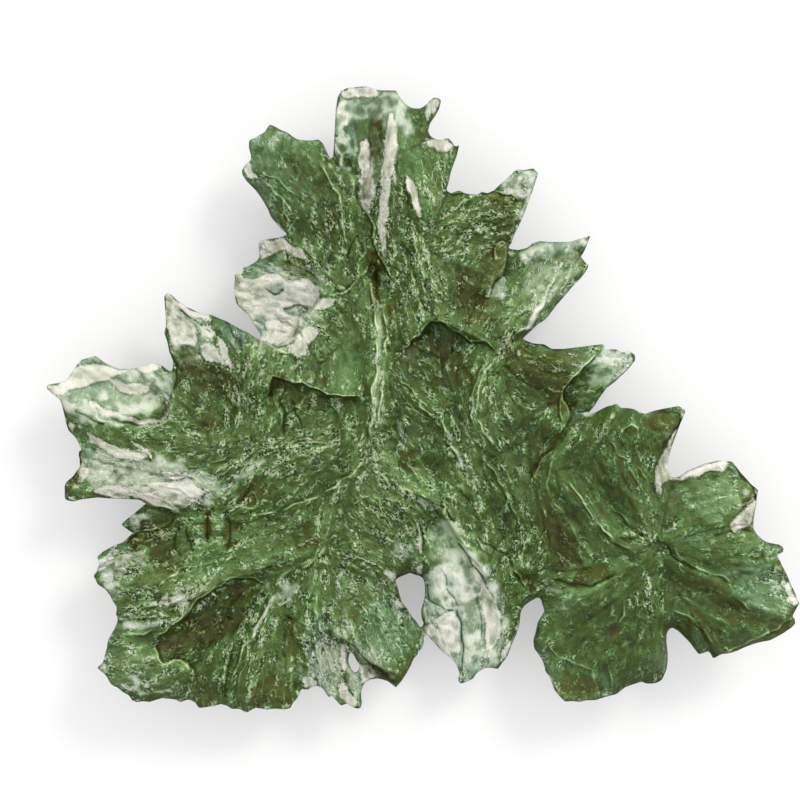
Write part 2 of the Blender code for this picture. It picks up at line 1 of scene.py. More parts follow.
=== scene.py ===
"""The looks of a leaf-shaped moldavite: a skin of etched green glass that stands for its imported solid.

The stone's plan is drawn in sketch units, x to the right and y down, on a sheet of 801 by 801 units. The
sheet's scale and place come from the frame: the stone is PLAN_LENGTH units long, and PLAN_CENTRE lies over
the frame's origin.
"""

import math

import bpy
import numpy as np
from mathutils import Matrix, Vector

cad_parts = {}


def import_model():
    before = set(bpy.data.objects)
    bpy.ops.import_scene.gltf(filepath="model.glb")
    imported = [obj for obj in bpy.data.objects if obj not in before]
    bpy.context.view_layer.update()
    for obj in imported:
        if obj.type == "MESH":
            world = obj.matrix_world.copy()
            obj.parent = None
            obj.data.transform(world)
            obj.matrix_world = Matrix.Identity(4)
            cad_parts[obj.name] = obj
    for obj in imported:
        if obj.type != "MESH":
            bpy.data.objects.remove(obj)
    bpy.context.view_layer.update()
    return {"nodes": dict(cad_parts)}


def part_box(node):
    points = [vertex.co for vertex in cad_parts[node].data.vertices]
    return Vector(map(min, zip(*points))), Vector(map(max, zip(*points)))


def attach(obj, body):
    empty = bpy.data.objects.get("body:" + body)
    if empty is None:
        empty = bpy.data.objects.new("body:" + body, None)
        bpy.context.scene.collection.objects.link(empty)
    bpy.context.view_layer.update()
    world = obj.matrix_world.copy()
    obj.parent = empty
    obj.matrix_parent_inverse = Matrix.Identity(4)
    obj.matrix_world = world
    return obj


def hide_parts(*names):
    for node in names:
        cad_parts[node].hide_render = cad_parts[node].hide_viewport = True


MM = 0.001

# The sketch.
SHEET = 801
PLAN_LENGTH = 744
PLAN_CENTRE = (421.0, 399.5)
VIEW_CENTRE = (400.0, 400.0)
VIEW_WIDTH = 800

# The skin's mesh. THINNEST and FOOT_HEIGHT are in mm.
VOXEL_SIZE = 0.135 * MM
UNDER_THINNED = 350000
SKIN_TRIANGLES = 196000
RELAX_ROUNDS = 14
THINNEST = 0.42
FOOT_HEIGHT = 1.6
# How far the pattern moves on down the walls, so that it doesn't run down them in stripes.
WALL_SHIFT = 0.8
SEED = 11

# The veins that the etched lines follow.
VEIN_SHIFT = 613.0
VEINS = [
    [(395, 105), (391, 135), (387, 165), (384, 195), (381, 225), (383, 250), (388, 272)],
    [(375, 295), (378, 325), (378, 350), (376, 380), (374, 405), (369, 430), (358, 455), (345, 478)],
    [(345, 478), (332, 505), (323, 528), (320, 548), (317, 572), (311, 598), (307, 620), (313, 645)],
    [(369, 430), (382, 458), (398, 478), (412, 490)],
    [(411, 228), (418, 255), (425, 280), (431, 300), (432, 318)],
    [(407, 172), (411, 195), (417, 215), (425, 230)],
    [(346, 104), (350, 130), (354, 158), (358, 182)],
    [(434, 240), (455, 228), (480, 216), (508, 210)],
    [(497, 350), (489, 366), (482, 380), (477, 395), (475, 410), (479, 425), (487, 440), (496, 455)],
    [(496, 455), (507, 475), (518, 496), (526, 516), (528, 535), (522, 553)],
    [(404, 380), (416, 396), (441, 415), (447, 432), (455, 452), (463, 470), (472, 495), (484, 520)],
    [(500, 345), (512, 326), (522, 330), (532, 317), (539, 305), (548, 292), (560, 268)],
    [(322, 160), (330, 180), (339, 198), (343, 217), (346, 238), (351, 262)],
    [(258, 150), (272, 185), (290, 215), (312, 245)],
    [(88, 478), (120, 483), (158, 486), (195, 490), (216, 498), (240, 486), (266, 468), (292, 456),
     (325, 447)],
    [(92, 425), (108, 440), (128, 451), (150, 458), (180, 462)],
    [(276, 592), (268, 612), (261, 638), (253, 668), (247, 698)],
    [(335, 545), (358, 557), (374, 561), (386, 571)],
    [(350, 496), (372, 510), (395, 530), (410, 548)],
    [(128, 606), (160, 600), (190, 590), (216, 571), (250, 560), (288, 552), (318, 543)],
    [(122, 622), (148, 624), (172, 613), (190, 600)],
    [(655, 545), (628, 545), (603, 528), (585, 506), (567, 487), (553, 470)],
    [(655, 545), (641, 516), (629, 486), (622, 460)],
    [(655, 545), (682, 522), (715, 508), (746, 500)],
    [(655, 545), (698, 545), (738, 544), (768, 545)],
    [(655, 545), (690, 570), (732, 592), (780, 614)],
    [(655, 545), (647, 582), (650, 612), (655, 642), (650, 670)],
    [(655, 545), (617, 568), (586, 590), (556, 606)],
    [(578, 424), (562, 446), (553, 470), (550, 492), (558, 516), (576, 545)],
    [(455, 560), (462, 590), (464, 620), (462, 650)],
    [(318, 645), (326, 668), (334, 690)],
    [(268, 345), (258, 365), (250, 390), (246, 415)],
    [(172, 300), (195, 322), (216, 345), (232, 372)],
    [(240, 290), (268, 292), (300, 296), (330, 310)],
    [(620, 352), (590, 368), (560, 372), (520, 366)],
    [(600, 690), (590, 665), (600, 640), (622, 615)],
    [(395, 650), (385, 625), (372, 600), (355, 580)],
]

# Sharp crests drawn on the top: (half width in units, strength, line).
CRESTS = [
    (1.6, 0.9, [(371, 278), (374, 305), (378, 330), (378, 356), (375, 384), (372, 410), (371, 432),
                (366, 456)]),
    (1.6, 0.8, [(383, 300), (386, 325), (386, 356), (383, 384), (380, 410), (378, 430)]),
    (1.6, 0.7, [(431, 306), (423, 288), (421, 275), (419, 260), (416, 250)]),
    (1.4, 0.6, [(421, 316), (419, 306), (414, 283), (410, 272)]),
    (2.2, 1.0, [(497, 354), (502, 346), (509, 336), (521, 331), (529, 328), (532, 320), (539, 308),
                (545, 295), (549, 285), (554, 278), (560, 273)]),
    (1.6, 0.9, [(497, 356), (491, 364), (484, 374), (479, 384), (477, 396), (475, 409), (476, 419),
                (480, 427), (487, 436), (494, 446)]),
    (1.3, 0.6, [(489, 360), (480, 372), (474, 386), (471, 400), (471, 414), (475, 428)]),
    (1.6, 0.7, [(481, 456), (492, 469), (502, 481), (507, 494), (511, 505)]),
    (1.4, 0.7, [(400, 379), (413, 391), (419, 399), (426, 406)]),
    (1.3, 0.5, [(424, 350), (431, 366), (438, 376), (449, 380)]),
    (2.0, 0.9, [(414, 406), (423, 411), (433, 416), (441, 419), (444, 426), (446, 437), (453, 449),
                (459, 459), (466, 469)]),
    (1.4, 0.6, [(371, 464), (380, 472), (388, 482), (394, 487)]),
    (1.6, 0.9, [(366, 457), (356, 471), (348, 477), (337, 485), (323, 494), (310, 499), (300, 502),
                (281, 511), (262, 514), (243, 517)]),
    (1.4, 0.7, [(353, 505), (363, 497), (375, 494), (386, 497), (400, 500)]),
    (2.0, 1.0, [(404, 487), (408, 488), (416, 491), (424, 496)]),
    (1.5, 0.7, [(371, 260), (366, 272), (358, 281), (343, 295), (333, 300)]),
    (1.4, 0.6, [(383, 250), (386, 267), (391, 280), (390, 296)]),
    (1.5, 1.0, [(319, 163), (328, 178), (334, 190), (342, 202), (343, 227), (345, 236), (348, 248),
                (349, 256)]),
    (1.3, 0.8, [(258, 178), (268, 187), (282, 199), (288, 213), (291, 227)]),
    (1.3, 0.8, [(262, 175), (276, 181), (287, 189), (296, 199)]),
    (2.0, 0.8, [(406, 178), (409, 196), (414, 210), (420, 221), (428, 228)]),
    (1.4, 0.7, [(409, 230), (414, 242), (417, 256), (421, 271), (424, 284)]),
    (1.3, 0.5, [(365, 242), (365, 250), (360, 264), (357, 271), (349, 280)]),
    (1.3, 0.7, [(556, 271), (553, 279), (548, 286)]),
    (1.5, 0.8, [(159, 388), (170, 400), (174, 411), (171, 420), (162, 424), (147, 426), (132, 425),
                (116, 423), (104, 418), (94, 406), (89, 392)]),
    (1.4, 0.9, [(265, 343), (280, 351), (295, 357), (309, 359)]),
    (1.3, 0.5, [(275, 395), (280, 409), (285, 426)]),
    (1.3, 0.5, [(288, 400), (297, 415), (305, 432)]),
    (1.4, 0.7, [(286, 452), (297, 444), (309, 441), (323, 442)]),
    (1.3, 0.5, [(337, 427), (344, 411), (347, 401)]),
    (1.5, 0.9, [(133, 438), (144, 446), (152, 453), (158, 461)]),
    (1.4, 0.8, [(144, 481), (165, 484), (187, 490), (202, 499)]),
    (1.4, 0.8, [(156, 473), (178, 475), (199, 478), (210, 485)]),
    (1.4, 0.7, [(132, 491), (153, 495), (172, 501), (185, 504)]),
    (1.4, 0.7, [(106, 495), (123, 496), (138, 501), (153, 505), (175, 509)]),
    (1.3, 0.6, [(190, 467), (206, 462), (224, 460), (240, 452)]),
    (1.3, 0.6, [(212, 478), (230, 468), (246, 458), (262, 447)]),
    (1.5, 0.7, [(608, 441), (616, 453), (626, 460)]),
    (2.0, 0.5, [(560, 435), (553, 448), (550, 463), (547, 478), (545, 493), (552, 499), (562, 513),
                (570, 526), (575, 539), (578, 554)]),
    (1.4, 0.9, [(565, 480), (581, 499), (591, 516), (601, 529), (613, 539), (630, 548)]),
    (1.8, 0.5, [(610, 503), (620, 514), (628, 523)]),
    (1.3, 0.6, [(626, 465), (636, 480), (646, 496)]),
    (1.3, 0.6, [(632, 462), (641, 477), (650, 492)]),
    (1.6, 0.8, [(668, 544), (681, 559), (696, 567), (714, 571), (727, 579)]),
    (1.4, 0.7, [(722, 577), (727, 592), (739, 602), (752, 608)]),
    (1.5, 0.8, [(719, 650), (739, 639), (761, 629), (775, 620), (789, 614)]),
    (1.4, 0.6, [(666, 604), (689, 616), (706, 635), (714, 649)]),
    (1.3, 0.7, [(623, 591), (622, 604), (622, 613), (616, 620)]),
    (1.2, 0.5, [(609, 601), (606, 615)]),
    (1.2, 0.5, [(707, 627), (718, 649)]),
    (1.2, 0.6, [(770, 561), (767, 572), (757, 580)]),
    (1.2, 0.5, [(779, 566), (776, 580), (764, 590)]),
    (1.8, 0.9, [(277, 592), (268, 607), (261, 621), (252, 636), (245, 645), (240, 661), (234, 679)]),
    (1.4, 0.6, [(272, 610), (262, 632), (254, 650), (243, 671), (238, 694)]),
    (1.3, 0.6, [(232, 645), (226, 668), (219, 691)]),
    (1.5, 0.7, [(306, 624), (304, 641), (307, 656)]),
    (1.4, 0.8, [(275, 581), (292, 569), (309, 563), (330, 544)]),
    (1.3, 0.6, [(280, 575), (301, 564), (330, 548)]),
    (1.4, 0.6, [(160, 584), (182, 567), (201, 562), (219, 558)]),
    (1.3, 0.6, [(150, 604), (172, 599), (196, 592), (214, 580)]),
    (1.3, 0.7, [(121, 618), (150, 612), (176, 612)]),
    (1.3, 0.6, [(125, 630), (150, 630), (170, 624)]),
    (1.2, 0.6, [(242, 492), (249, 490), (256, 492), (260, 499), (256, 507), (249, 508), (243, 503)]),
    (1.3, 0.6, [(301, 618), (307, 621)]),
    (1.6, 0.9, [(415, 515), (418, 528), (421, 543), (423, 558)]),
    (1.5, 0.8, [(343, 551), (358, 555), (373, 560), (384, 568), (394, 578)]),
    (1.3, 0.6, [(497, 478), (505, 493), (510, 505), (515, 516)]),
    (1.3, 0.6, [(527, 528), (525, 540), (519, 563)]),
    (1.3, 0.6, [(547, 640), (556, 654), (568, 659), (579, 661), (591, 667)]),
    (1.2, 0.6, [(607, 665), (609, 688)]),
    (1.6, 0.7, [(618, 435), (620, 427), (628, 424), (636, 428), (637, 437), (631, 444)]),
    (1.2, 0.5, [(300, 655), (306, 664), (318, 672), (322, 690)]),
    (1.2, 0.6, [(306, 590), (310, 612), (316, 640), (322, 668), (330, 690)]),
    (1.2, 0.6, [(316, 600), (322, 625), (328, 650), (337, 676)]),
]

# Narrow cuts: (half width in units, strength, line).
CUTS = [
    (1.6, 0.8, [(408, 347), (416, 342), (424, 334), (432, 327)]),
    (1.6, 0.9, [(424, 499), (433, 501), (441, 504), (446, 511), (454, 520)]),
    (1.4, 0.6, [(499, 366), (512, 373), (524, 384), (545, 391), (560, 394)]),
    (2.2, 0.6, [(376, 272), (378, 285), (377, 300)]),
    (1.5, 0.7, [(524, 342), (541, 344), (549, 348), (565, 349)]),
    (1.8, 0.7, [(174, 305), (187, 314), (200, 325), (214, 333)]),
    (2.6, 0.5, [(213, 316), (226, 322), (240, 340), (242, 352)]),
    (1.8, 0.8, [(167, 334), (171, 352), (178, 368), (179, 383), (176, 392)]),
    (1.6, 0.9, [(298, 319), (298, 329), (295, 337), (289, 345), (277, 348)]),
    (1.6, 0.8, [(264, 288), (275, 293), (284, 289)]),
    (1.5, 0.6, [(282, 308), (296, 306), (309, 309)]),
    (2.0, 0.9, [(277, 377), (272, 386), (270, 397)]),
    (1.8, 0.8, [(280, 398), (285, 411), (286, 427), (285, 437)]),
    (1.6, 0.7, [(292, 398), (301, 420), (305, 434)]),
    (1.6, 0.7, [(78, 410), (90, 415), (101, 421), (110, 424)]),
    (1.5, 0.8, [(239, 505), (247, 495), (253, 484)]),
    (1.8, 0.9, [(126, 544), (138, 533), (156, 530), (167, 527), (176, 517)]),
    (1.6, 0.7, [(181, 521), (178, 536), (176, 545), (184, 556)]),
    (1.5, 0.7, [(188, 522), (191, 538), (196, 552)]),
    (2.8, 0.9, [(209, 506), (208, 521), (208, 538)]),
    (2.4, 0.7, [(226, 508), (231, 522), (230, 547)]),
    (1.6, 1.0, [(576, 413), (591, 410)]),
    (1.6, 0.8, [(681, 415), (673, 430), (659, 450)]),
    (2.6, 0.5, [(618, 472), (624, 484), (630, 494)]),
    (1.8, 0.9, [(663, 543), (666, 553), (676, 559), (689, 566)]),
    (1.6, 0.7, [(731, 461), (739, 475), (751, 486), (752, 498), (741, 506)]),
    (1.4, 0.5, [(706, 533), (727, 529), (747, 528)]),
    (1.8, 0.8, [(550, 576), (562, 581), (586, 584), (603, 577), (615, 571)]),
    (1.6, 0.8, [(225, 615), (234, 619)]),
    (1.5, 0.6, [(235, 645), (230, 670), (225, 694)]),
    (1.6, 0.9, [(287, 611), (294, 618)]),
    (1.5, 0.8, [(419, 519), (422, 532), (424, 545)]),
    (2.0, 0.8, [(396, 580), (402, 575), (409, 573), (416, 573), (423, 576)]),
    (2.2, 0.8, [(341, 636), (355, 645), (364, 658), (380, 668), (396, 683)]),
    (2.2, 0.5, [(690, 617), (702, 636), (713, 654)]),
    (1.4, 0.6, [(459, 490), (470, 500), (474, 514)]),
    (1.4, 0.6, [(480, 540), (492, 545), (505, 552), (512, 566)]),
    (1.3, 0.7, [(254, 320), (263, 325), (268, 332)]),
    (1.3, 0.6, [(358, 235), (352, 250), (346, 262)]),
    (1.4, 0.6, [(640, 533), (628, 540), (616, 536)]),
    (1.4, 0.7, [(425, 580), (430, 600), (445, 610), (457, 610)]),
    (1.6, 0.8, [(457, 606), (462, 635), (462, 655), (463, 677)]),
    (1.3, 0.6, [(440, 566), (448, 586), (457, 606)]),
    (1.3, 0.6, [(476, 596), (482, 620), (481, 640)]),
]

# Edges where one layer of the glass ends above the next, which lies on the right hand: (half width in units,
# strength, line).
STEPS = [
    (2.0, 1.0, [(408, 345), (414, 340), (423, 331), (433, 321), (446, 327), (458, 335), (468, 340),
                (476, 342), (486, 343), (491, 348), (497, 354)]),
    (2.2, 1.0, [(270, 388), (276, 377), (288, 379), (298, 383), (315, 389), (331, 395), (349, 397),
                (363, 395)]),
    (1.8, 0.6, [(484, 300), (489, 293), (492, 282), (504, 274), (506, 261), (506, 244)]),
    (1.8, 0.8, [(514, 244), (500, 242), (492, 252), (494, 264)]),
    (2.0, 0.9, [(157, 638), (176, 622), (189, 612), (197, 602), (211, 592), (220, 584), (228, 579),
                (238, 575), (254, 577), (270, 584)]),
    (1.8, 0.8, [(196, 664), (185, 657), (177, 655), (170, 658), (163, 653), (157, 639)]),
    (2.0, 0.9, [(458, 540), (472, 560), (484, 578), (491, 591), (496, 599)]),
    (2.0, 1.0, [(570, 412), (562, 400), (561, 388), (572, 378), (584, 366), (596, 354)]),
    (1.8, 0.9, [(512, 567), (520, 578), (527, 587)]),
    (1.6, 0.7, [(443, 192), (451, 194), (461, 192), (471, 194), (494, 192), (511, 194), (516, 199),
                (522, 203)]),
    (2.0, 0.8, [(552, 447), (541, 456), (533, 470), (530, 480)]),
    (1.6, 0.7, [(358, 184), (358, 202), (365, 215), (368, 219), (374, 230), (374, 245), (377, 254),
                (383, 261), (386, 268), (392, 282)]),
    (1.6, 0.7, [(560, 394), (556, 408), (560, 424)]),
]

# Bands of colour: (colour, half width in units, strength, line).
BANDS = [
    ("cream", 4.5, 0.6, [(208, 495), (228, 486), (244, 476), (255, 466), (268, 456)]),
    ("cream", 2.5, 0.7, [(147, 601), (172, 598), (196, 593)]),
    ("cream", 4.5, 0.8, [(124, 622), (150, 622), (170, 617)]),
    ("cream", 3, 1.0, [(537, 172), (530, 195), (522, 220), (511, 243)]),
    ("cream", 8, 1.0, [(518, 260), (534, 253), (552, 249), (572, 244), (588, 238)]),
    ("cream", 2.4, 1.0, [(549, 289), (545, 299), (538, 307), (534, 317), (528, 327), (522, 332)]),
    ("cream", 3.5, 1.0, [(685, 407), (683, 424), (677, 440), (671, 455), (668, 472)]),
    ("cream", 4.5, 1.0, [(680, 477), (697, 468), (714, 462), (727, 463)]),
    ("cream", 2.2, 0.4, [(652, 600), (646, 614), (640, 628), (634, 640)]),
    ("cream", 2.6, 0.48, [(377, 300), (380, 330), (380, 356), (377, 384), (374, 408), (371, 430)]),
    ("cream", 2.2, 0.7, [(277, 592), (268, 607), (261, 621), (252, 636)]),
    ("cream", 2.2, 0.6, [(446, 430), (452, 446), (460, 460), (467, 472)]),
    ("teal", 6, 1.0, [(262, 135), (251, 152), (250, 178), (262, 205), (282, 230)]),
    ("teal", 4, 0.6, [(272, 130), (295, 141), (318, 142), (330, 156)]),
    ("teal", 3, 0.8, [(649, 412), (664, 408), (681, 407)]),
    ("teal", 3, 0.6, [(548, 610), (537, 632), (546, 660), (562, 690)]),
    ("olive", 4, 0.8, [(376, 268), (377, 290), (374, 310)]),
    ("olive", 3, 0.8, [(67, 405), (70, 425), (80, 450), (83, 464)]),
    ("olive", 3, 0.7, [(690, 617), (702, 636), (713, 654)]),
    ("olive", 4, 0.7, [(557, 432), (547, 448), (537, 462), (531, 478)]),
]

# Patches of colour and finish, and of painted light and shade ("light", "shade"): (x, y, half length, half
# width, turn in degrees, strength).
PATCHES = {
    "cream": [
        (444, 534, 14, 20, -35, 0.5), (112, 388, 62, 34, 0, 0.82), (150, 478, 76, 24, 10, 0.72),
        (192, 332, 24, 36, -15, 0.62), (280, 305, 46, 45, 0, 0.58), (465, 615, 40, 68, -12, 0.95),
        (345, 670, 46, 32, 0, 0.55), (550, 275, 42, 24, -35, 0.45), (610, 366, 26, 18, -30, 0.5),
        (115, 575, 14, 30, 0, 0.45), (130, 668, 34, 24, 0, 0.3), (385, 150, 14, 56, 5, 0.45),
        (341, 132, 7, 44, 0, 1.0), (372, 106, 34, 18, 0, 0.7), (402, 112, 10, 26, -10, 0.8),
        (262, 150, 16, 22, 10, 0.35), (280, 138, 30, 9, 10, 0.35), (268, 200, 12, 34, -30, 0.3),
        (438, 190, 10, 26, 15, 0.3), (712, 495, 30, 22, 0, 0.3), (276, 140, 8, 6, 0, 0.5),
        (56, 387, 7, 4, 0, 0.9), (138, 522, 16, 9, -20, 0.7), (96, 453, 9, 12, 0, 0.4),
        (109, 559, 6, 9, 20, 1.0), (130, 560, 13, 10, 0, 0.6), (111, 579, 8, 6, 20, 0.9),
        (186, 595, 16, 8, -15, 0.6), (136, 681, 12, 5, 15, 0.8), (166, 687, 14, 4, 5, 0.8),
        (102, 665, 5, 4, 0, 0.9), (286, 584, 15, 7, 5, 0.6), (287, 597, 7, 7, 0, 0.5),
        (344, 624, 12, 9, 30, 0.5), (403, 553, 14, 8, 0, 0.5), (520, 184, 18, 13, -25, 1.0),
        (498, 291, 8, 12, 20, 0.7), (615, 356, 22, 6, 0, 0.9), (627, 367, 14, 6, -40, 0.9),
        (500, 345, 9, 7, 0, 0.5), (583, 413, 9, 4, -20, 0.8), (712, 488, 5, 6, 0, 0.4),
        (751, 491, 4, 8, -20, 0.7), (738, 519, 13, 5, -45, 0.85), (786, 588, 5, 14, -25, 1.0),
        (768, 590, 24, 20, 20, 0.25), (643, 545, 6, 12, -20, 0.35), (645, 590, 7, 12, 20, 0.3),
        (549, 588, 9, 5, 10, 0.5), (562, 604, 10, 5, -35, 0.35), (247, 392, 9, 18, 0, 0.35),
        (425, 500, 10, 7, 30, 0.6),
    ],
    "olive": [
        (443, 352, 13, 14, 30, 0.9), (456, 368, 12, 20, -30, 0.8), (440, 383, 14, 10, 10, 0.6),
        (407, 457, 9, 10, 0, 0.9), (432, 470, 16, 11, 20, 0.5), (416, 231, 5, 9, 0, 0.7),
        (378, 263, 7, 7, 0, 0.9), (393, 308, 8, 9, 0, 0.8), (325, 186, 12, 12, 0, 0.6),
        (265, 170, 6, 6, 0, 0.5), (334, 213, 9, 10, 0, 0.5), (303, 170, 24, 13, 30, 0.5),
        (376, 144, 7, 23, 0, 0.7), (503, 202, 18, 8, 5, 0.9), (500, 252, 8, 13, 20, 1.0),
        (472, 300, 16, 34, -20, 0.8), (490, 266, 16, 13, 0, 0.7), (577, 259, 12, 8, -20, 0.9),
        (530, 366, 36, 14, 20, 0.8), (560, 396, 13, 18, 0, 1.0), (545, 388, 20, 10, 30, 0.6),
        (556, 358, 26, 10, 5, 0.7), (185, 351, 9, 9, 0, 0.9), (219, 385, 19, 13, 0, 0.6),
        (211, 418, 17, 12, 0, 0.5), (234, 411, 8, 16, 0, 0.6), (200, 372, 12, 6, 0, 0.7),
        (282, 384, 9, 8, 0, 1.0), (326, 400, 32, 6, 6, 0.45), (325, 383, 5, 5, 0, 0.6),
        (275, 400, 8, 12, 0, 0.6), (303, 404, 22, 10, 15, 0.5), (262, 490, 20, 15, 0, 0.7),
        (307, 536, 9, 17, 0, 0.8), (270, 544, 11, 6, 0, 0.5), (74, 480, 6, 10, 15, 1.4),
        (150, 537, 19, 9, -15, 1.0), (168, 560, 13, 17, 0, 0.8), (148, 581, 12, 7, 0, 0.5),
        (239, 591, 17, 11, 5, 0.9), (207, 628, 34, 16, -18, 0.9), (174, 646, 14, 11, 0, 0.8),
        (228, 612, 14, 8, 0, 0.6), (292, 640, 8, 24, 0, 0.8), (272, 690, 24, 15, 0, 0.9),
        (201, 682, 8, 17, 0, 0.5), (209, 521, 4, 17, 0, 0.9), (230, 530, 6, 17, 0, 0.8),
        (352, 598, 14, 14, 0, 0.5), (386, 676, 16, 7, 30, 0.6), (530, 583, 9, 6, 35, 1.2),
        (556, 533, 17, 35, -20, 0.8), (661, 422, 21, 10, 8, 0.9), (631, 433, 7, 6, 0, 0.8),
        (634, 451, 7, 6, 0, 0.7), (626, 484, 8, 19, -30, 0.6), (600, 503, 9, 7, 0, 0.6),
        (634, 510, 9, 11, 0, 0.4), (588, 573, 21, 6, -5, 0.9), (553, 556, 10, 20, 0, 0.6),
        (745, 498, 8, 8, 0, 0.7), (752, 556, 6, 6, 0, 1.0), (714, 582, 13, 10, 0, 0.5),
        (728, 606, 28, 13, 20, 0.6), (774, 620, 15, 6, -22, 0.8), (735, 480, 14, 10, 30, 0.5),
        (611, 636, 9, 6, 0, 0.7), (578, 684, 26, 11, 5, 0.9), (650, 675, 13, 8, -10, 0.7),
        (700, 628, 12, 28, -35, 0.5), (116, 430, 24, 4, 10, 0.4), (546, 506, 9, 20, 0, 0.5),
        (446, 510, 12, 10, 0, 0.3), (495, 520, 16, 18, 0, 0.4), (290, 480, 20, 8, -15, 0.4),
    ],
    "teal": [
        (348, 108, 9, 8, 0, 0.8), (353, 140, 5, 24, 0, 0.7), (268, 260, 16, 9, 0, 0.8),
        (272, 287, 13, 7, 0, 1.0), (258, 322, 7, 13, 0, 0.9), (512, 258, 6, 7, 0, 0.7),
        (522, 371, 9, 4, 25, 0.8), (585, 354, 20, 8, -10, 0.6), (600, 366, 16, 15, 0, 0.5),
        (632, 355, 6, 4, 0, 0.8), (731, 466, 8, 7, 0, 0.7), (750, 580, 32, 26, 30, 0.7),
        (768, 546, 12, 7, 0, 0.7), (94, 361, 10, 5, 0, 0.9), (97, 455, 11, 14, 0, 0.6),
        (106, 489, 28, 7, 0, 0.4), (160, 380, 12, 10, 0, 0.5), (82, 396, 8, 8, 0, 0.6),
        (230, 350, 9, 16, -35, 0.6), (118, 547, 16, 6, -25, 0.8), (106, 602, 7, 18, -10, 0.6),
        (110, 642, 6, 20, 10, 0.5), (318, 645, 14, 36, 0, 0.7), (388, 625, 30, 34, 0, 0.6),
        (359, 688, 6, 16, 5, 0.8), (468, 677, 12, 7, -10, 1.0), (436, 530, 13, 18, -35, 0.6),
        (458, 550, 16, 18, -20, 0.5), (504, 652, 6, 12, 15, 0.6), (600, 677, 14, 10, 0, 0.6),
        (468, 622, 30, 52, -10, 0.45), (300, 188, 48, 34, 40, 0.4), (372, 110, 34, 24, 0, 0.5),
        (262, 165, 20, 44, -10, 0.5), (650, 660, 14, 13, 0, 0.6), (700, 646, 18, 6, 50, 0.7),
        (690, 537, 22, 10, 10, 0.5), (350, 585, 22, 22, 0, 0.4), (410, 545, 14, 10, 0, 0.6),
        (610, 476, 5, 9, 0, 0.5), (255, 192, 8, 22, -25, 0.5),
    ],
    "light": [
        (346, 360, 18, 34, 0, 0.32), (144, 409, 12, 9, 0, 0.8), (214, 403, 12, 8, 0, 0.4),
        (654, 549, 9, 7, 0, 0.7), (450, 546, 24, 30, -30, 1.0), (750, 575, 30, 28, 20, 0.2),
        (592, 588, 34, 8, -8, 0.4), (410, 158, 13, 26, 0, 0.15), (550, 315, 26, 15, -40, 0.4),
        (600, 372, 13, 15, 0, 0.5), (220, 519, 4, 12, 0, 0.8), (148, 557, 4, 13, -15, 0.8),
        (430, 175, 18, 30, 20, 0.25), (520, 300, 18, 20, 0, 0.3), (720, 505, 22, 18, 0, 0.2),
        (185, 331, 16, 12, 0, 0.4), (318, 590, 7, 30, 0, 0.4), (260, 660, 10, 30, 20, 0.25),
        (142, 635, 18, 6, 0, 0.4), (640, 500, 14, 40, -35, 0.2), (376, 380, 9, 55, 0, 0.5),
        (395, 476, 36, 26, 0, 0.5), (540, 296, 44, 22, -42, 0.5), (112, 392, 54, 26, 0, 0.5),
        (150, 474, 76, 22, 8, 0.3), (176, 585, 52, 20, -20, 0.35), (146, 664, 36, 30, 0, 0.15),
        (712, 495, 34, 26, 0, 0.35), (422, 150, 24, 44, 0, 0.12), (455, 595, 34, 66, -20, 0.2),
        (343, 135, 7, 42, 0, 0.6), (365, 620, 46, 60, 0, 0.25), (286, 308, 40, 44, 0, 0.75),
        (308, 406, 40, 14, 5, 0.3), (100, 384, 50, 24, 0, 0.3),
    ],
    "shade": [
        (640, 470, 75, 60, 0, 0.32), (690, 590, 70, 60, 20, 0.30), (620, 630, 60, 50, 0, 0.4),
        (540, 480, 60, 70, 0, 0.36), (305, 200, 22, 60, -35, 0.18), (338, 205, 10, 50, 0, 0.3),
        (495, 232, 22, 30, 10, 0.5), (463, 292, 20, 30, -10, 0.4), (432, 380, 36, 52, -20, 0.4),
        (540, 385, 34, 26, 20, 0.62), (563, 384, 12, 24, 0, 0.6), (560, 540, 18, 34, 0, 0.5),
        (215, 388, 38, 20, 10, 0.45), (308, 402, 44, 26, 5, 0.15), (210, 620, 52, 26, -22, 0.55),
        (230, 670, 45, 28, 0, 0.3), (158, 538, 30, 16, -15, 0.5), (406, 460, 12, 12, 0, 0.5),
        (740, 600, 45, 28, 20, 0.3), (635, 450, 60, 40, 0, 0.3), (70, 480, 8, 14, 20, 0.6),
        (620, 672, 55, 20, 0, 0.3), (660, 420, 22, 10, 8, 0.6),
    ],
    "smooth": [
        (150, 474, 66, 20, 10, 0.4), (285, 165, 46, 40, 20, 0.6), (372, 112, 40, 28, 0, 1.1),
        (290, 305, 20, 30, 0, 0.3), (112, 388, 62, 34, 0, 0.9), (462, 600, 34, 60, -12, 0.7),
        (630, 470, 100, 80, 0, 0.7), (680, 600, 110, 80, 20, 0.7), (600, 630, 60, 60, 0, 0.75),
        (410, 157, 13, 28, 0, 0.9), (346, 362, 17, 34, 0, 0.8), (720, 508, 20, 16, 0, 0.6),
        (592, 587, 34, 9, -8, 0.9), (142, 635, 16, 6, 0, 0.9), (112, 432, 30, 6, 8, 0.7),
        (444, 535, 14, 22, -30, 0.8), (600, 374, 14, 14, 0, 0.9), (548, 248, 36, 10, -12, 0.9),
        (600, 630, 36, 26, 0, 0.4), (290, 650, 14, 26, 0, 0.4), (545, 480, 16, 22, 0, 0.5),
        (220, 519, 4, 12, 0, 0.9), (346, 135, 8, 34, 0, 0.9), (690, 590, 30, 12, 25, 0.5),
        (252, 292, 18, 14, 0, 0.5), (256, 540, 26, 16, 0, 0.3), (610, 460, 20, 10, 0, 0.5),
    ],
    "glitter": [
        (412, 270, 30, 46, -10, 0.7), (478, 224, 38, 20, -22, 0.9), (338, 235, 16, 34, -10, 0.6),
        (402, 512, 30, 30, 20, 0.7), (290, 450, 52, 15, -12, 0.9), (185, 488, 60, 18, 6, 0.6),
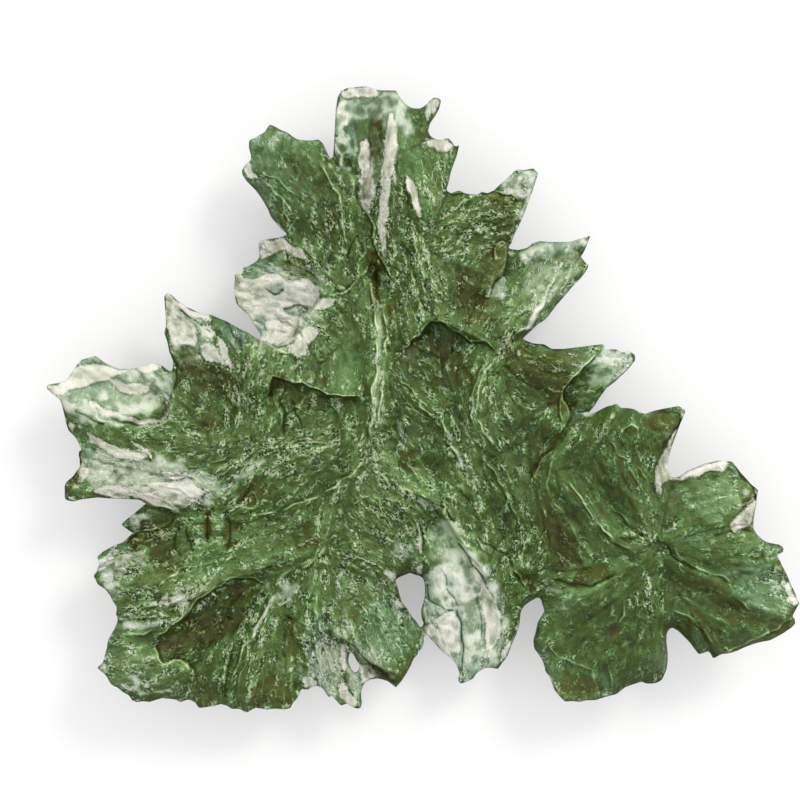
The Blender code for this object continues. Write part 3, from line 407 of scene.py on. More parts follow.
        (456, 440, 12, 40, -25, 0.8), (655, 535, 24, 22, 0, 0.5), (645, 595, 16, 24, 15, 0.5),
        (592, 432, 32, 16, -15, 0.35), (430, 505, 18, 14, 30, 0.6), (176, 600, 48, 20, -12, 0.8),
        (258, 625, 12, 40, 25, 0.7), (326, 650, 26, 34, 0, 0.75), (396, 600, 14, 30, -30, 0.7),
        (352, 566, 24, 22, 0, 0.65), (240, 385, 26, 30, 0, 0.8), (520, 535, 14, 24, 0, 0.7),
        (305, 268, 26, 20, 20, 0.9), (385, 210, 12, 50, 0, 0.7), (505, 345, 16, 12, 0, 0.9),
        (378, 440, 14, 40, 10, 0.6), (128, 565, 20, 14, 0, 1.0), (150, 537, 18, 10, -15, 0.8),
        (640, 465, 16, 26, -25, 0.5), (770, 580, 18, 18, 0, 0.5), (105, 460, 26, 16, 20, 0.7),
        (300, 330, 24, 30, 0, 0.5),
    ],
}

# Crisp-edged pieces: the closed outline of each, by colour.
PIECES = {
    "cream": [
        [(50, 385), (60, 386), (69, 381), (77, 367), (85, 364), (99, 364), (110, 367), (131, 371),
         (111, 379), (92, 384), (72, 390), (65, 395), (57, 395)],
        [(137, 367), (145, 364), (153, 362), (163, 365), (159, 370), (150, 372), (141, 371)],
        [(111, 381), (127, 381), (140, 385), (152, 386), (151, 391), (142, 395), (132, 394), (124, 393),
         (117, 389)],
        [(90, 402), (100, 410), (110, 415), (127, 421), (150, 424), (169, 420), (173, 410), (167, 400),
         (169, 412), (163, 419), (142, 420), (122, 415), (104, 408), (95, 401)],
        [(71, 420), (76, 421), (79, 427), (76, 433), (72, 430), (70, 425)],
        [(91, 432), (98, 435), (108, 440), (118, 445), (128, 449), (140, 450), (148, 455), (154, 459),
         (132, 458), (122, 456), (107, 448), (95, 441)],
        [(132, 440), (140, 442), (148, 447), (154, 454), (159, 459), (149, 455), (142, 448)],
        [(82, 467), (90, 466), (92, 471), (90, 477), (85, 483), (80, 480)],
        [(69, 497), (74, 495), (80, 497), (77, 501), (72, 501)],
        [(97, 490), (105, 485), (125, 485), (145, 486), (157, 482), (185, 480), (195, 481), (206, 492),
         (198, 501), (180, 509), (168, 508), (157, 505), (150, 501), (132, 497), (110, 497)],
        [(160, 471), (175, 471), (185, 474), (195, 477), (180, 477), (167, 475)],
        [(166, 296), (170, 294), (185, 306), (197, 312), (208, 314), (211, 322), (195, 317), (185, 312),
         (175, 305), (177, 312), (188, 320), (196, 328), (200, 341), (195, 347), (181, 344), (176, 347),
         (168, 331), (166, 318)],
        [(201, 327), (208, 326), (215, 330), (218, 337), (212, 339), (205, 336)],
        [(203, 344), (210, 344), (218, 350), (223, 357), (228, 366), (217, 363), (210, 361), (203, 354)],
        [(219, 338), (224, 341), (230, 355), (239, 370), (234, 369), (226, 358), (220, 347)],
        [(259, 241), (285, 239), (292, 247), (303, 252), (311, 260), (298, 258), (283, 251), (271, 257),
         (261, 259)],
        [(234, 274), (240, 273), (243, 279), (252, 280), (265, 275), (277, 274), (285, 279), (288, 284),
         (296, 281), (307, 280), (318, 286), (320, 295), (313, 305), (301, 306), (289, 305), (281, 308),
         (290, 315), (298, 317), (299, 326), (297, 336), (288, 346), (277, 345), (261, 340), (257, 329),
         (245, 317), (236, 304), (233, 289)],
        [(313, 309), (319, 301), (329, 299), (337, 302), (333, 306), (323, 311)],
        [(292, 346), (299, 338), (305, 329), (313, 325), (319, 331), (315, 341), (309, 346), (307, 355),
         (299, 359), (287, 351)],
        [(341, 95), (350, 90), (364, 89), (375, 90), (382, 95), (373, 98), (357, 101), (345, 98)],
        [(361, 142), (368, 140), (371, 150), (370, 160), (373, 171), (371, 178), (376, 188), (373, 202),
         (368, 218), (363, 209), (360, 195), (361, 179), (359, 155)],
        [(389, 116), (394, 116), (397, 135), (397, 155), (394, 170), (390, 190), (388, 212), (386, 230),
         (386, 250), (386, 259), (382, 252), (379, 240), (378, 222), (380, 205), (381, 188), (382, 172),
         (384, 158), (386, 140), (387, 126)],
        [(406, 179), (411, 181), (417, 195), (421, 219), (417, 218), (412, 206), (408, 195)],
        [(425, 137), (431, 141), (442, 140), (451, 144), (456, 149), (448, 152), (437, 152), (429, 149)],
        [(429, 102), (435, 101), (440, 103), (435, 112), (430, 118), (426, 124), (427, 113)],
        [(248, 164), (252, 165), (253, 172), (258, 180), (251, 181), (244, 171)],
        [(423, 627), (432, 625), (438, 633), (444, 645), (457, 662), (460, 671), (449, 660), (435, 645)],
        [(436, 620), (446, 612), (456, 612), (460, 637), (458, 655), (447, 648), (441, 635)],
        [(470, 565), (475, 567), (482, 577), (490, 590), (497, 600), (500, 615), (500, 635), (494, 646),
         (486, 648), (487, 625), (482, 607), (478, 595), (481, 586), (474, 576)],
        [(520, 618), (519, 628), (513, 642), (506, 655), (500, 665), (502, 652), (511, 638)],
        [(415, 567), (421, 561), (423, 572), (419, 575)],
        [(415, 520), (418, 522), (421, 540), (423, 555), (419, 547), (416, 535)],
        [(302, 675), (310, 676), (318, 680), (319, 686), (309, 688), (303, 684)],
        [(340, 680), (346, 684), (352, 694), (360, 700), (357, 707), (348, 704), (339, 697)],
        [(360, 665), (370, 664), (380, 675), (368, 679), (361, 683)],
        [(340, 640), (345, 642), (347, 665), (345, 673), (341, 662)],
        [(387, 567), (398, 573), (392, 578), (384, 571)],
        [(685, 410), (678, 425), (672, 441), (668, 460), (669, 474), (676, 478), (668, 480), (661, 484),
         (658, 497), (653, 492), (652, 480), (655, 466), (660, 453), (666, 445), (673, 430), (681, 416)],
        [(677, 477), (692, 468), (704, 464), (716, 461), (727, 462), (722, 470), (706, 471), (690, 476),
         (679, 481)],
        [(750, 493), (753, 501), (751, 512), (747, 522), (738, 527), (729, 531), (726, 522), (731, 516),
         (742, 509), (746, 502)],
        [(782, 579), (787, 590), (791, 599), (787, 603), (782, 593), (778, 582)],
        [(392, 597), (399, 600), (403, 610), (397, 608)],
    ],
    "teal": [
        [(175, 306), (185, 313), (201, 325), (196, 328), (185, 320), (177, 312)],
        [(211, 315), (225, 317), (245, 327), (246, 343), (237, 350), (229, 341), (220, 330)],
        [(82, 361), (89, 359), (96, 355), (106, 363), (99, 365), (85, 365)],
        [(83, 445), (96, 447), (101, 453), (96, 463), (89, 465), (84, 455)],
        [(269, 293), (275, 285), (284, 283), (286, 288), (282, 293), (275, 295)],
        [(281, 308), (290, 306), (310, 308), (304, 314), (294, 316), (286, 313)],
        [(243, 268), (257, 262), (279, 265), (281, 273), (269, 273), (261, 278), (247, 274)],
        [(255, 318), (260, 313), (265, 318), (267, 338), (260, 336), (257, 327)],
        [(270, 303), (279, 302), (281, 306), (274, 308)],
        [(274, 313), (283, 319), (281, 324), (276, 319)],
        [(422, 584), (429, 582), (433, 596), (441, 606), (445, 611), (435, 616), (425, 615)],
        [(457, 615), (462, 617), (464, 640), (465, 665), (460, 670), (459, 645)],
        [(459, 680), (461, 671), (470, 662), (485, 658), (498, 657), (500, 664), (480, 671), (470, 680),
         (462, 685)],
        [(475, 600), (480, 610), (485, 626), (480, 636), (477, 620)],
        [(349, 117), (356, 118), (358, 150), (354, 176), (350, 162), (346, 140)],
        [(345, 107), (357, 105), (360, 112), (357, 118), (349, 114)],
    ],
    "olive": [
        [(181, 347), (190, 345), (200, 348), (202, 354), (195, 358), (186, 360)],
        [(180, 362), (200, 359), (208, 363), (220, 368), (231, 372), (235, 378), (210, 375), (195, 377),
         (187, 376), (180, 392)],
        [(67, 485), (79, 476), (83, 471), (83, 480), (76, 485), (71, 493), (67, 498)],
        [(201, 410), (208, 415), (220, 418), (225, 425), (213, 433), (205, 428)],
        [(263, 261), (285, 260), (309, 263), (305, 268), (311, 276), (300, 279), (290, 276), (281, 266)],
        [(370, 255), (379, 255), (384, 262), (380, 272), (377, 285), (379, 305), (374, 300), (371, 280),
         (363, 268)],
        [(386, 304), (397, 305), (400, 312), (390, 316), (384, 311)],
        [(371, 119), (381, 120), (383, 132), (382, 160), (377, 166), (372, 158), (370, 140)],
        [(342, 637), (355, 650), (363, 660), (377, 663), (391, 671), (401, 672), (408, 662), (416, 649),
         (412, 663), (402, 680), (395, 687), (386, 679), (372, 675), (358, 661), (350, 650)],
        [(321, 376), (328, 380), (329, 387), (321, 385)],
    ],
}

# How far in and out of a piece its edge is felt, in units.
PIECE_REACH = 6.0
# The etched relief: (height in mm, spacing in units, reach along the veins in units). Cups have no reach.
COARSE_FURROWS = (0.05, 30, 40)
MIDDLE_FURROWS = (0.07, 13, 6)
FINE_FURROWS = (0.07, 7, 4)
CUPS = (0.07, 17)
# The most that the relief adds or takes away, in mm.
RELIEF_LIMIT = 1.0
# Fields that the surface's strokes and colours follow: (spacing, reach along the veins), in units.
STRANDS = (9, 16)
MOTTLE = (22, 8)
STREAKS = (9, 18)
# What the drawn lines add to the height, in mm.
STRAND_RISE = 0.03
CREST_RISE = 0.20
CUT_DEPTH = 0.22
STEP_RISE = 0.12
PIT_DEPTH = 0.22
# How far a step's two sides run out, and how far what is drawn wanders, in units.
STEP_REACH = 10.0
TRACE_REACH = 6.0
LINE_WANDER = (0.8, 22)
PATCH_WANDER = (3.6, 22)

# Real glass: what it takes from light on the way through, per metre for each of red, green and blue.
GLASS_DENSITY = 330.0
GLASS_TINT = (0.42, 0.66, 0.36, 1.0)
GLASS_IOR = 1.49
GLASS_CLEARNESS = 0.32
GLASS_SHEEN = 0.10
# The tones of its etched skin, from the dark of the cuts, which is partly painted shade, to the pale worn
# crests, which are partly painted highlight.
GREEN_TONES = [
    (0.0, (0.020, 0.030, 0.000, 1)), (0.2, (0.034, 0.062, 0.002, 1)), (0.4, (0.072, 0.147, 0.030, 1)),
    (0.55, (0.128, 0.238, 0.074, 1)), (0.7, (0.215, 0.40, 0.140, 1)), (0.85, (0.40, 0.61, 0.25, 1)),
    (1.0, (0.80, 0.92, 0.56, 1)),
]
MIST_TONES = [
    (0.0, (0.05, 0.10, 0.04, 1)), (0.2, (0.24, 0.34, 0.22, 1)), (0.4, (0.50, 0.60, 0.46, 1)),
    (0.6, (0.74, 0.78, 0.65, 1)), (1.0, (0.98, 0.97, 0.88, 1)),
]
CREAM_TONES = [
    (0.0, (0.07, 0.11, 0.04, 1)), (0.2, (0.39, 0.44, 0.31, 1)), (0.4, (0.79, 0.75, 0.66, 1)),
    (0.6, (0.94, 0.88, 0.80, 1)), (1.0, (1.0, 0.96, 0.88, 1)),
]
TEAL_TONES = [
    (0.0, (0.015, 0.028, 0.002, 1)), (0.4, (0.078, 0.165, 0.060, 1)), (0.7, (0.27, 0.44, 0.24, 1)),
    (1.0, (0.74, 0.90, 0.70, 1)),
]
FOLD_TONES = [
    (0.0, (0.02, 0.04, 0.02, 1)), (0.4, (0.12, 0.21, 0.12, 1)), (0.7, (0.34, 0.46, 0.33, 1)),
    (1.0, (0.74, 0.90, 0.70, 1)),
]
OLIVE_TONES = [
    (0.0, (0.026, 0.022, 0.000, 1)), (0.4, (0.070, 0.086, 0.006, 1)), (0.7, (0.15, 0.21, 0.04, 1)),
    (1.0, (0.55, 0.62, 0.33, 1)),
]
# How far forms of each radius, in units, count towards the skin's tone: painted light on what stands out and
# painted shade in the hollows.
RELIEF_SHARES = [(3, 0.55), (9, 0.5)]
RELIEF_CLIP = 0.35
PAINTED_RELIEF_SHADING = 0.38
SKIN_TONE = 0.335
STROKE_TONE = 0.75
DRAWN_TONE = 0.55
CREAM_LIFT = 0.20
RIM_SHADE = 0.20
EDGE_LIGHT = 0.12
MOTTLE_TONE = 0.02
# Painted light and shade: the tone is lighter where the surface leans towards this side of the stone, and
# darker where it leans away.
PAINTED_LIGHT_SIDE = (0.15, 0.80, 0.0)
PAINTED_LIGHT_TONE = 0.23
PIECE_LIFT = 0.02
PIECE_CALM = 0.40
BUMP_HEIGHT = 0.10 * MM
# Patterns along and across the veins, per unit, and the pores, per metre.
FINE_SCALE = (0.42, 0.60, 0)
SHORT_LINE_SCALE = (0.10, 0.145, 0)
FLAKE_SCALE = (0.052, 0.095, 0)
FLAKE_BEND = (1.3, 1.3, 0)
CHIP_SCALE = (2.1, 2.1, 0)
PORE_SCALE = 4600

FLOOR_SIZE = 3.0
FLOOR_COLOUR = (0.46, 0.46, 0.46, 1.0)
FLOOR_GLOW = 0.32
CAMERA_LENS = 100
SENSOR_WIDTH = 36
WORLD_COLOUR = (1.0, 1.0, 1.0, 1.0)
WORLD_STRENGTH = 1.36


class Sheet:
    """The drawing sheet, laid over the frame."""

    def __init__(self, box):
        low, high = (np.array(corner, float) for corner in box)
        self.unit = (high[0] - low[0]) / PLAN_LENGTH
        self.centre = (low[:2] + high[:2]) / 2

    def to_frame(self, x, y):
        return (
            self.centre[0] + (x - PLAN_CENTRE[0]) * self.unit,
            self.centre[1] + (PLAN_CENTRE[1] - y) * self.unit,
        )

    def from_frame(self, places):
        x = (places[:, 0] - self.centre[0]) / self.unit + PLAN_CENTRE[0]
        y = PLAN_CENTRE[1] - (places[:, 1] - self.centre[1]) / self.unit
        return x, y


def smooth_step(value):
    value = np.clip(value, 0, 1)
    return value * value * (3 - 2 * value)


def nearest_on(line, x, y):
    """For each place: its distance from the line, its side (+1 right, -1 left) and how far along it is."""
    points = np.array(line, float)
    steps = np.diff(points, axis=0)
    lengths = np.linalg.norm(steps, axis=1)
    best = np.full(x.shape, np.inf)
    side = np.ones(x.shape)
    along = np.zeros(x.shape)
    before = 0.0
    for start, step, length in zip(points, steps, lengths):
        u, v = step / length
        dx, dy = x - start[0], y - start[1]
        t = np.clip(dx * u + dy * v, 0, length)
        distance = np.hypot(dx - t * u, dy - t * v)
        closer = distance < best - 1e-9
        best = np.where(closer, distance, best)
        side = np.where(closer, np.sign(u * dy - v * dx), side)
        along = np.where(closer, (before + t) / lengths.sum(), along)
        before += length
    return best, side, along


def place_along(line, x, y):
    """For each place: its distance from the line, how far along it is, and how far across, to the right hand.

    Past its ends the line runs straight on, and beside a bend the places keep their true distances apart.
    """
    points = np.array(line, float)
    best = np.full(x.shape, np.inf)
    along = np.zeros(x.shape)
    across = np.zeros(x.shape)
    before = 0.0
    turned = 0.0
    heading = None
    for start, end in zip(points, points[1:]):
        length = math.hypot(*(end - start))
        u, v = (end - start) / length
        if heading is not None:
            turned += math.remainder(math.atan2(v, u) - heading, 2 * math.pi)
        heading = math.atan2(v, u)
        dx, dy = x - start[0], y - start[1]
        t = np.clip(dx * u + dy * v, 0, length)
        offset_x, offset_y = dx - t * u, dy - t * v
        distance = np.hypot(offset_x, offset_y)
        run = dx * u + dy * v
        past = ((run < 0) & (before == 0)) | ((run > length) & np.array_equal(end, points[-1]))
        cross = u * dy - v * dx
        side = np.where(cross < 0, -1, 1)
        fan = np.arctan2(-side * offset_x, side * offset_y) - heading
        fan = np.arctan2(np.sin(fan), np.cos(fan))
        offset = np.where(past, cross, side * distance)
        fanned = turned + np.where(past | (distance < 1e-6), 0, fan)
        place = before + np.where(past, run, t) - offset * fanned
        closer = distance < best - 1e-9
        best = np.where(closer, distance, best)
        along = np.where(closer, place, along)
        across = np.where(closer, offset, across)
        before += length
    return best, along, across


def band_noise(rng, spacing, spread=0.4):
    """Smooth noise over the sheet whose forms are about that far apart, with a standard deviation of 1."""
    white = np.fft.rfft2(rng.standard_normal((SHEET, SHEET)))
    rate = np.hypot(np.fft.fftfreq(SHEET)[:, None], np.fft.rfftfreq(SHEET)[None])
    rate[0, 0] = 1e-9
    field = np.fft.irfft2(white * np.exp(-((np.log(rate * spacing) / spread) ** 2)), s=(SHEET, SHEET))
    return field / field.std()


def vein_flow(lines):
    """Over the sheet, the unit direction that the nearest veins run in."""
    coarse = 8
    across = np.arange(0, SHEET + coarse, coarse)
    x, y = np.meshgrid(across, across)
    total = np.zeros((2, *x.shape))
    for line in lines:
        for (x0, y0), (x1, y1) in zip(line, line[1:]):
            turn = 2 * math.atan2(y1 - y0, x1 - x0)
            far = (x - (x0 + x1) / 2) ** 2 + (y - (y0 + y1) / 2) ** 2
            weight = math.hypot(x1 - x0, y1 - y0) / (far + 144) ** 1.5
            total += weight * np.array([math.cos(turn), math.sin(turn)])[:, None, None]
    fine = np.arange(SHEET)
    rows = np.array([[np.interp(fine, across, row) for row in part] for part in total])
    full = np.array([[np.interp(fine, across, column) for column in part.T] for part in rows])
    full = full.transpose(0, 2, 1)
    angle = np.arctan2(full[1], full[0]) / 2
    return np.cos(angle), np.sin(angle)


def combed(field, flow, reach, stride=1.5):
    """The field drawn out along the flow, with a standard deviation of 1."""
    rows, columns = np.mgrid[0:SHEET, 0:SHEET].astype(float)
    total = field.copy()
    for sign in (1, -1):
        x, y = columns.copy(), rows.copy()
        u, v = sign * flow[0], sign * flow[1]
        for _ in range(int(reach / stride / 2)):
            x, y = x + stride * u, y + stride * v
            i = np.clip(np.rint(y).astype(int), 0, SHEET - 1)
            j = np.clip(np.rint(x).astype(int), 0, SHEET - 1)
            turn = np.where(flow[0][i, j] * u + flow[1][i, j] * v < 0, -1, 1)
            u, v = flow[0][i, j] * turn, flow[1][i, j] * turn
            total += field[i, j]
    total -= total.mean()
    return total / total.std()


def dashed(field):
    """Separate raised strokes where the field is high, and shallower cuts where it is low."""
    strokes = 1.3 * np.maximum(field - 0.35, 0) - 0.6 * np.maximum(-field - 0.5, 0)
    return np.minimum(strokes, 1.4) - strokes.mean()


def ridged(field):
    """Sharp crests where the field is 0, and round hollows between them."""
    crest = 1 - np.sqrt(field**2 + 0.01)
    return crest - crest.mean()


def blurred(field, radius):
    """The field's average over a soft disc of that radius."""
    rate = 2 * math.pi * radius
    down, across = np.fft.fftfreq(SHEET)[:, None], np.fft.rfftfreq(SHEET)
    fade = np.exp(-0.5 * (rate * down) ** 2 - 0.5 * (rate * across) ** 2)
    return np.fft.irfft2(np.fft.rfft2(field) * fade, s=(SHEET, SHEET))


def sampled(field, x, y):
    """The field between its samples."""
    x, y = np.clip(x, 0, SHEET - 1.001), np.clip(y, 0, SHEET - 1.001)
    j, i = x.astype(int), y.astype(int)
    u, v = x - j, y - i
    upper = field[i, j] * (1 - u) + field[i, j + 1] * u
    lower = field[i + 1, j] * (1 - u) + field[i + 1, j + 1] * u
    return upper * (1 - v) + lower * v


def average_height(x, y, height, radius):
    """The average height over the sheet, within that radius of each place."""
    i, j = np.rint(y).astype(int), np.rint(x).astype(int)
    cell = np.clip(i, 0, SHEET - 1) * SHEET + np.clip(j, 0, SHEET - 1)
    weight = np.bincount(cell, minlength=SHEET * SHEET).reshape(SHEET, SHEET)
    total = np.bincount(cell, height, SHEET * SHEET).reshape(SHEET, SHEET)
    return blurred(total, radius) / np.maximum(blurred(weight, radius), 1e-3)


class Drawing:
    """What is drawn on the top, as fields over the sheet: rise in mm, tone, finish and colours."""

    def __init__(self, rng):
        y, x = np.mgrid[0:SHEET, 0:SHEET].astype(float)
        reach, spacing = LINE_WANDER
        self.line_grid = (x + reach * band_noise(rng, spacing), y + reach * band_noise(rng, spacing))
        reach, spacing = PATCH_WANDER
        self.patch_grid = (x + reach * band_noise(rng, spacing), y + reach * band_noise(rng, spacing))
        fading = smooth_step(0.75 + 0.35 * band_noise(rng, 24))

        crest = self.lines(CRESTS) * fading
        cut = self.lines(CUTS)
        step = self.steps(STEPS)
        self.patches = {name: self.spots(spots) for name, spots in PATCHES.items()}
        for name, half_width, strength, line in BANDS:
            band = self.lines([(half_width, strength, line)], self.line_grid, power=3)
            self.patches[name] = np.maximum(self.patches[name], band)

        self.inside = {name: self.pieces(outlines) for name, outlines in PIECES.items()}
        solid = smooth_step(0.5 + 0.25 * self.inside["cream"])
        self.patches["cream"] **= 1.25
        self.rise = CREST_RISE * crest - CUT_DEPTH * cut + STEP_RISE * step
        self.rise -= PIT_DEPTH * self.patches["olive"]
        self.fading = fading
        self.flow = vein_flow(VEINS)
        self.strands = combed(band_noise(rng, STRANDS[0]), self.flow, STRANDS[1])
        self.strand_slope = np.hypot(*np.gradient(self.strands))
        self.mottle = combed(band_noise(rng, MOTTLE[0], 0.6), self.flow, MOTTLE[1])
        self.streaks = combed(band_noise(rng, STREAKS[0], 0.6), self.flow, STREAKS[1])
        # The drawn tone: a painted highlight along the crests, painted shade in the cuts, and the patches of
        # painted light and shade.
        self.tone = 0.12 * crest - 0.10 * cut + 0.30 * self.patches["light"] - 0.30 * self.patches["shade"]
        self.tone += PIECE_LIFT * solid
        self.lively = 0.42 - 0.30 * self.patches["smooth"] + 0.55 * self.patches["glitter"]
        self.lively *= 1 - PIECE_CALM * solid

    def lines(self, lines, grid=None, power=2):
        """The sheet with each line on it, 1 along its middle."""
        grid = grid or self.line_grid
        total = np.zeros((SHEET, SHEET))
        for half_width, strength, line in lines:
            area = window(line, 3 * half_width + 4)
            distance, _, along = nearest_on(line, grid[0][area], grid[1][area])
            ends = smooth_step(along / 0.08) * smooth_step((1 - along) / 0.08)
            shown = strength * np.exp(-((distance / half_width) ** power)) * ends
            total[area] = np.maximum(total[area], shown)
        return total

    def traced(self, lines, x, y):
        """At each place, how far it is across its nearest line, to the right, and the line's strength."""
        x, y = sampled(self.line_grid[0], x, y), sampled(self.line_grid[1], x, y)
        across = np.full(len(x), TRACE_REACH)
        weight = np.zeros(len(x))
        for _, strength, line in lines:
            points = np.array(line, float)
            low, high = points.min(axis=0) - TRACE_REACH, points.max(axis=0) + TRACE_REACH
            near = np.flatnonzero((x > low[0]) & (x < high[0]) & (y > low[1]) & (y < high[1]))
            distance, side, along = nearest_on(line, x[near], y[near])
            ends = smooth_step(along / 0.1) * smooth_step((1 - along) / 0.1)
            closer = distance < np.abs(across[near])
            shown = strength * ends * smooth_step(2 - 2 * distance / TRACE_REACH)
            weight[near] = np.where(closer, shown, weight[near])
            across[near] = np.where(closer, side * distance, across[near])
        return across, weight

    def steps(self, steps):
        """The steps' height, +1 on the left hand and -1 on the right."""
        height = np.zeros((SHEET, SHEET))
        for _, strength, line in steps:
            area = window(line, 3 * STEP_REACH)
            distance, side, along = nearest_on(line, self.line_grid[0][area], self.line_grid[1][area])
            weight = strength * smooth_step(along / 0.08) * smooth_step((1 - along) / 0.08)
            left = smooth_step(0.5 - side * distance / 1.6)
            height[area] += weight * (2 * left - 1) * np.exp(-distance / STEP_REACH)
        return height

    def spots(self, spots):
        """The sheet with each soft-edged oval on it."""
        total = np.zeros((SHEET, SHEET))
        for x, y, half_length, half_width, turn, strength in spots:
            cos, sin = math.cos(math.radians(turn)), math.sin(math.radians(turn))
            area = window([(x, y)], 1.5 * max(half_length, half_width) + 12)
            dx, dy = self.patch_grid[0][area] - x, self.patch_grid[1][area] - y
            far = np.hypot((dx * cos + dy * sin) / half_length, (dy * cos - dx * sin) / half_width)
            total[area] = np.maximum(total[area], strength * smooth_step(2.1 - 1.6 * far))
        return total

    def pieces(self, outlines):
        """How far each place is inside its nearest piece, and below 0 outside."""
        deepest = np.full((SHEET, SHEET), -PIECE_REACH)
        for outline in outlines:
            area = window(outline, PIECE_REACH + 2)
            closed = outline + outline[:1]
            x, y = self.line_grid[0][area], self.line_grid[1][area]
            distance = nearest_on(closed, x, y)[0]
            inside = np.zeros(x.shape, bool)
            for (x1, y1), (x2, y2) in zip(closed, closed[1:]):
                if y1 != y2:
                    inside ^= ((y1 > y) != (y2 > y)) & (x < x1 + (x2 - x1) * (y - y1) / (y2 - y1))
            deepest[area] = np.maximum(deepest[area], np.where(inside, distance, -distance))
        return np.minimum(blurred(deepest, 0.8), PIECE_REACH)


def window(line, margin):
    """The part of the sheet within a margin of the line."""
    points = np.array(line, float)
    low = np.maximum(np.floor(points.min(axis=0) - margin).astype(int), 0)
    high = np.minimum(np.ceil(points.max(axis=0) + margin).astype(int) + 1, SHEET)
    return slice(low[1], high[1]), slice(low[0], high[0])


def etched_relief(rng, flow, lively):
    """The height of a face's etched relief over the sheet, in mm."""
    height, spacing, reach = COARSE_FURROWS
    relief = height * combed(band_noise(rng, spacing), flow, reach)
    for height, spacing, reach in (MIDDLE_FURROWS, FINE_FURROWS):
        relief += height * (0.25 + 0.85 * lively) * dashed(combed(band_noise(rng, spacing), flow, reach))
    height, spacing = CUPS
    where = smooth_step(0.6 + 0.6 * band_noise(rng, 90)) * (0.3 + 0.7 * np.minimum(lively, 1))
    return relief + height * where * ridged(band_noise(rng, spacing))


def places_of(mesh):
    places = np.empty(len(mesh.vertices) * 3, np.float32)
    mesh.vertices.foreach_get("co", places)
    return places.reshape(-1, 3).astype(float)


def normals_of(mesh):
    normals = np.empty(len(mesh.vertices) * 3, np.float32)
    mesh.vertex_normals.foreach_get("vector", normals)
    return normals.reshape(-1, 3).astype(float)


def set_places(mesh, places):
    mesh.vertices.foreach_set("co", places.astype(np.float32).ravel())
    mesh.update()


def applied(skin):
    """Gives the object the mesh that its modifiers make, and removes them."""
    shown = skin.evaluated_get(bpy.context.evaluated_depsgraph_get())
    mesh = bpy.data.meshes.new_from_object(shown)
    skin.modifiers.clear()
    skin.data = mesh


def relax_heights(mesh, rounds):
    """Evens out the solid's facets, upward and downward only, so that the outline stays."""
    edges = np.empty(len(mesh.edges) * 2, np.int32)
    mesh.edges.foreach_get("vertices", edges)
    first, second = edges.reshape(-1, 2).T
    places = places_of(mesh)
    size = len(places)
    count = np.bincount(first, minlength=size) + np.bincount(second, minlength=size)
    height = places[:, 2]
    for _ in range(rounds):
        total = np.bincount(first, height[second], size) + np.bincount(second, height[first], size)
        height = 0.4 * height + 0.6 * total / count
    places[:, 2] = height
    set_places(mesh, places)


def shape_skin(mesh, sheet, drawing):
    """Carves the etched relief into both faces, and hollows the underside where the glass is thin."""
    rng = np.random.default_rng(SEED + 1)
    top = etched_relief(rng, drawing.flow, drawing.lively) + STRAND_RISE * drawing.strands + drawing.rise
    under = etched_relief(rng, drawing.flow, np.ones((SHEET, SHEET)))
    places, normals = places_of(mesh), normals_of(mesh)
    x, y = sheet.from_frame(places)
    upward = smooth_step(normals[:, 2] / 0.5)
    downward = smooth_step(-normals[:, 2] / 0.5)
    height = places[:, 2] / MM
    height += np.clip(sampled(top, x, y), -RELIEF_LIMIT, RELIEF_LIMIT) * upward
    height -= np.clip(sampled(under, x, y), -RELIEF_LIMIT, RELIEF_LIMIT) * downward

    face = normals[:, 2] > 0.3
    ceiling = sampled(average_height(x[face], y[face], height[face], 2.0), x, y)
    pale = np.maximum(drawing.patches["cream"], smooth_step(0.5 + 0.25 * drawing.inside["cream"]))
    thin = np.minimum(sampled(blurred(pale, 2.0), x, y), 1)
    room = np.maximum(ceiling - THINNEST - height, 0)
    height += room * thin * downward
    height = np.where(normals[:, 2] < -0.3, np.minimum(height, ceiling - THINNEST), height)

    low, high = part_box("moldavite")
    places[:, 2] = np.clip(height * MM, low[2], high[2])
    set_places(mesh, places)


def thin_out(skin, most, group=""):
    """Brings the skin down to at most that many triangles, within a vertex group where one is given."""
    triangles = sum(len(face.vertices) - 2 for face in skin.data.polygons)
    thinner = skin.modifiers.new("fewer_faces", "DECIMATE")
    thinner.ratio = min(1.0, most / triangles)
    thinner.vertex_group = group
    thinner.vertex_group_factor = 10.0
    applied(skin)


def set_down(mesh):
    """Lets the feet down to the ground, and fades that out above them."""
    places, normals = places_of(mesh), normals_of(mesh)
    lowest = places[:, 2].min()
    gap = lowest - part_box("moldavite")[0][2]
    low_down = smooth_step(1 - (places[:, 2] - lowest) / MM / FOOT_HEIGHT)
    places[:, 2] -= gap * low_down * (normals[:, 2] < 0)
    set_places(mesh, places)


def make_skin(frame, sheet, drawing):
    solid = frame["nodes"]["moldavite"]
    skin = bpy.data.objects.new("moldavite_glass", solid.data.copy())
    bpy.context.scene.collection.objects.link(skin)
    skin.data.materials.clear()
    remesh = skin.modifiers.new("even_mesh", "REMESH")
    remesh.mode = "VOXEL"
    remesh.voxel_size = VOXEL_SIZE
    applied(skin)
    relax_heights(skin.data, RELAX_ROUNDS)
    shape_skin(skin.data, sheet, drawing)

    underside = skin.vertex_groups.new(name="underside")
    underside.add(np.flatnonzero(normals_of(skin.data)[:, 2] < 0.1).tolist(), 1.0, "REPLACE")
    thin_out(skin, UNDER_THINNED, "underside")
    thin_out(skin, SKIN_TRIANGLES)
    skin.vertex_groups.clear()
    set_down(skin.data)
    skin.data.shade_smooth()
    add_attributes(skin.data, sheet, drawing)
    return skin


def store(mesh, name, values):
    """Keeps one value or one vector for each vertex under that name."""
    single = values.ndim == 1
    attribute = mesh.attributes.new(name, "FLOAT" if single else "FLOAT_VECTOR", "POINT")
    attribute.data.foreach_set("value" if single else "vector", values.astype(np.float32).ravel())


